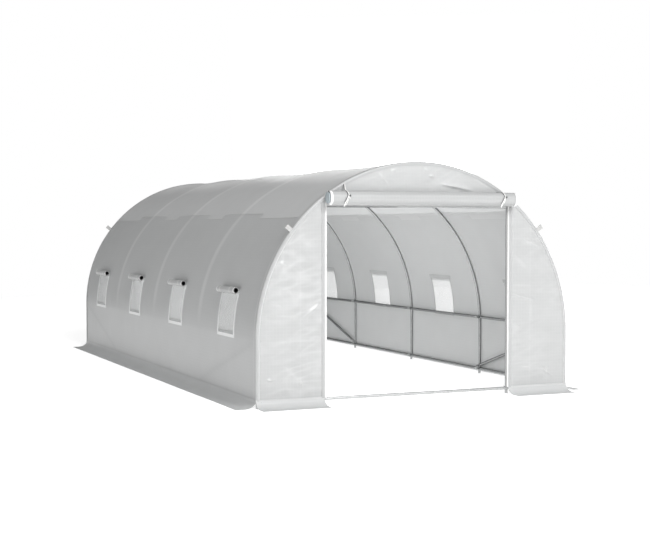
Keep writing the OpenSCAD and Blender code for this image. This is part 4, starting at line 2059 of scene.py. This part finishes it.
@dataclass
class TubeFrame:
    """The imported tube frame, with the wing nuts and tube joints that hold it together."""

    tunnel: Tunnel
    nut_r: float = 6 * MM
    nut_h: float = 9 * MM
    wing: float = 13 * MM
    bolt_r: float = 3 * MM
    bolt_end: float = 6 * MM
    washer_r: float = 9 * MM
    washer_t: float = 1.6 * MM
    # Flattened ends that lie between a hoop and its nut, and the distance from a brace's end to its bolt.
    seat: float = 7.2 * MM
    brace_end: float = 13 * MM
    rim_over: float = 0.7 * MM
    rim_width: float = 5 * MM

    def dress(self) -> None:
        """Give every packed tube its zinc finish."""
        for part in frame["record"]["subparts"]:
            if part["material_slot"] == Slot.TUBE.value:
                materials = frame["nodes"][part["node"]].data.materials
                materials.clear()
                materials.append(STEEL_FINISH.material())
                log.info("%s: packed tube in %s", part["node"], STEEL_FINISH.name)

    def wing_nut(self) -> BMesh:
        """Make one washer, nut with two wings and bolt end, standing on the origin along Z.

        Returns:
            Its mesh.
        """
        mesh = bmesh.new()
        for radius, height, foot, sides in (
            (self.washer_r, self.washer_t, 0.0, 20),
            (self.nut_r, self.nut_h, self.washer_t, 14),
            (self.bolt_r, self.nut_h + self.bolt_end, self.washer_t, 10),
        ):
            drum = bmesh.ops.create_cone(
                mesh, cap_ends=True, segments=sides, radius1=radius, radius2=radius * 0.9, depth=height
            )["verts"]
            bmesh.ops.translate(mesh, vec=(0, 0, foot + height / 2), verts=drum)
        for sign in (-1, 1):
            blade = bmesh.ops.create_cube(mesh, size=1.0)["verts"]
            bmesh.ops.scale(mesh, vec=(self.wing, 2.4 * MM, self.wing), verts=blade)
            edges = list({edge for vert in blade for edge in vert.link_edges})
            top = [
                edge for edge in edges
                if all(vert.co.z > 0 for vert in edge.verts)
                and abs(edge.verts[0].co.x - edge.verts[1].co.x) < MM
            ]
            bent = bmesh.ops.bevel(
                mesh, geom=top, offset=4 * MM, segments=3, profile=0.5, affect="EDGES", material=-1
            )["verts"]
            parts = list({vert for vert in [*blade, *bent] if vert.is_valid})
            turn = Matrix.Rotation(-sign * math.radians(28), 4, "Y")
            bmesh.ops.transform(mesh, matrix=turn, verts=parts)
            spot = (sign * (self.nut_r + 0.42 * self.wing), 0, self.washer_t + self.nut_h)
            bmesh.ops.translate(mesh, vec=spot, verts=parts)
        return mesh

    def fixings(self) -> list[tuple[Vector, Vector]]:
        """Find every bolt, on the inside of each joint of the frame.

        Returns:
            The foot and the direction of each bolt.
        """
        tunnel = self.tunnel
        inside = tunnel.hoop_radius - tunnel.tube - self.seat
        found = []
        for side in Side:
            x = side.value * inside
            inward = Vector((-side.value, 0, 0))
            for node in ("base_rail", "side_rail"):
                low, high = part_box(f"{side.label}_{node}")
                found += [(Vector((x, hoop, (low.z + high.z) / 2)), inward) for hoop in tunnel.hoops]
            low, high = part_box(f"{side.label}_braces")
            for outer, inner in ((0, 1), (-1, -2)):
                found.append((Vector((x, tunnel.hoops[outer], high.z - self.brace_end)), inward))
                found.append((Vector((x, tunnel.hoops[inner], low.z + self.brace_end)), inward))
        found += [(Vector((0, hoop, tunnel.spring + inside)), Vector((0, 0, -1))) for hoop in tunnel.hoops]
        post_low, post_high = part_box("left_door_post")
        post_x = (post_low.x + post_high.x) / 2
        across = {End.FRONT: ("door_header", "front_sill"), End.REAR: ("rear_header", "rear_sill")}
        for end, nodes in across.items():
            for node in nodes:
                low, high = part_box(node)
                for side in Side:
                    spot = Vector((-side.value * post_x, -end.value * post_high.y, (low.z + high.z) / 2))
                    found.append((spot, Vector((0, -end.value, 0))))
        return found

    def nuts(self) -> Object:
        """Put a wing nut on every bolt.

        Returns:
            All the wing nuts, as one piece.
        """
        pattern = self.wing_nut()
        data = bpy.data.meshes.new("wing_nut_pattern")
        pattern.to_mesh(data)
        pattern.free()
        mesh = bmesh.new()
        for number, (foot, way) in enumerate(self.fixings()):
            before = len(mesh.verts)
            mesh.from_mesh(data)
            mesh.verts.ensure_lookup_table()
            added = mesh.verts[before:]
            turn = way.to_track_quat("Z", "Y").to_matrix().to_4x4()
            twist = Matrix.Rotation(number * 0.9, 4, "Z")
            bmesh.ops.transform(mesh, matrix=Matrix.Translation(foot) @ turn @ twist, verts=added)
        bpy.data.meshes.remove(data)
        return make_piece("wing_nuts", mesh, STEEL_FINISH, Slot.TUBE)

    def joints(self) -> Object:
        """Put the rim of the wider tube round each joint of the hoops.

        Returns:
            All the rims, as one piece.
        """
        tunnel = self.tunnel
        radius = tunnel.tube + self.rim_over
        mesh = bmesh.new()
        for hoop in tunnel.hoops:
            for angle in (0.0, math.radians(60), math.radians(120), math.pi):
                rim = bmesh.ops.create_cone(
                    mesh, cap_ends=True, segments=28, radius1=radius, radius2=radius, depth=self.rim_width
                )["verts"]
                lean = Matrix.Rotation(-angle, 4, "Y")
                out, _ = Side.RIGHT.axes(angle)
                spot = Vector((0, hoop, tunnel.spring)) + tunnel.hoop_radius * out
                bmesh.ops.transform(mesh, matrix=Matrix.Translation(spot) @ lean, verts=rim)
        return make_piece("hoop_joint_rims", mesh, STEEL_FINISH, Slot.TUBE)

    def build(self) -> None:
        """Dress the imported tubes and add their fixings."""
        self.dress()
        self.nuts()
        self.joints()


# Studio

@dataclass
class Softbox:
    """A large soft lamp that looks at a point."""

    name: str
    place: Vector
    aim: Vector
    size: tuple[float, float]
    watts: float
    shows: bool = True

    def build(self) -> None:
        """Hang the lamp."""
        lamp = bpy.data.lights.new(self.name, "AREA")
        lamp.shape = "RECTANGLE"
        lamp.size, lamp.size_y = self.size
        lamp.energy = self.watts
        holder = bpy.data.objects.new(self.name, lamp)
        holder.visible_camera = self.shows
        holder.visible_glossy = self.shows
        holder.location = self.place
        holder.rotation_euler = (self.aim - self.place).to_track_quat("-Z", "Y").to_euler()
        bpy.context.scene.collection.objects.link(holder)
        log.info("%s: %.0f W", self.name, self.watts)


@dataclass
class Studio:
    """Pale floor, soft lamps, white surroundings and the camera."""

    camera_place: Vector = field(default_factory=lambda: Vector((-5.1304, -12.6871, 1.4786)))
    camera_pitch: float = math.radians(90 - 2.157)
    camera_heading: float = math.radians(-23.652)
    lens_mm: float = 70.64
    sensor_mm: float = 36.0
    floor_half: float = 15.0
    fill: float = 0.24

    def floor(self) -> None:
        """Lay the floor just under the part."""
        mesh = bmesh.new()
        bmesh.ops.create_grid(mesh, x_segments=1, y_segments=1, size=self.floor_half)
        bmesh.ops.translate(mesh, vec=(0, 0, -0.5 * MM), verts=mesh.verts)
        data = bpy.data.meshes.new("floor")
        mesh.to_mesh(data)
        mesh.free()
        data.materials.append(FLOOR_FINISH.material())
        floor = bpy.data.objects.new("floor", data)
        bpy.context.scene.collection.objects.link(floor)
        floor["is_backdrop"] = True

    def surroundings(self) -> None:
        """Make the world plain white to look at, and a soft even fill as a light."""
        world = bpy.data.worlds.new("studio_air")
        world.use_nodes = True
        tree = world.node_tree
        tree.nodes.clear()
        to_camera = add_node(tree, "LightPath").outputs["Is Camera Ray"]
        fill = add_node(tree, "Background", {"Color": linear("FFFFFF"), "Strength": self.fill})
        seen = add_node(tree, "Background", {"Color": linear("FFFFFF"), "Strength": 1.0})
        both = blend(tree, to_camera, fill, seen)
        add_node(tree, "OutputWorld", {"Surface": both.outputs["Shader"]})
        bpy.context.scene.world = world

    def camera(self) -> None:
        """Set the camera where the view of the front and the left side is taken from."""
        lens = bpy.data.cameras.new("camera")
        lens.lens = self.lens_mm
        lens.sensor_width = self.sensor_mm
        lens.clip_end = 200.0
        holder = bpy.data.objects.new("camera", lens)
        holder.location = self.camera_place
        holder.rotation_euler = (self.camera_pitch, 0.0, self.camera_heading)
        bpy.context.scene.collection.objects.link(holder)
        bpy.context.scene.camera = holder

    def build(self) -> None:
        """Set up the floor, the light and the camera."""
        bpy.context.scene.view_settings.view_transform = "Standard"
        self.floor()
        self.surroundings()
        self.camera()
        middle = Vector((0, 0, 1.0))
        # The inner lamp stands for the light that the sheets let through, and isn't seen itself.
        inner, inner_aim = Vector((-1.15, 0.3, 0.8)), Vector((1.5, 0.3, 1.05))
        for lamp in (
            Softbox("key_softbox", Vector((0.8, -17.5, 12.5)), middle, (9.0, 8.0), 3800.0),
            Softbox("left_softbox", Vector((-15.0, -1.5, 4.2)), middle, (12.0, 4.0), 430.0),
            Softbox("right_softbox", Vector((13.0, 1.5, 2.7)), middle, (9.0, 4.0), 700.0),
            Softbox("back_softbox", Vector((10.5, 18.2, 5.0)), middle, (9.0, 4.2), 290.0),
            Softbox("inner_softbox", inner, inner_aim, (5.2, 1.0), 31.0, shows=False),
        ):
            lamp.build()


def note_sizes() -> None:
    """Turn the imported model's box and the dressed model's box into lists of numbers."""
    boxes = {"cad": cad_box, "visual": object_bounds()}
    {name: [list(corner) for corner in box] for name, box in boxes.items()}


def main() -> None:
    """Build every piece of the tunnel, and the studio round it."""
    logging.basicConfig(level=logging.INFO, format="%(name)s: %(message)s")
    tunnel = Tunnel.measured()
    windows = WindowSizes.measured(tunnel)
    Studio().build()
    TubeFrame(tunnel).build()
    Cover(tunnel, windows).build(GuyLoops(tunnel).build())
    door = Door(tunnel)
    EndWalls(tunnel).build({side: door.edge(side) for side in Side})
    Skirts(tunnel).build()
    for side in Side:
        for number in range(len(tunnel.bays)):
            Window(tunnel, windows, side, number).build()
    door.build()
    note_sizes()


if __name__ == "__main__":
    main()
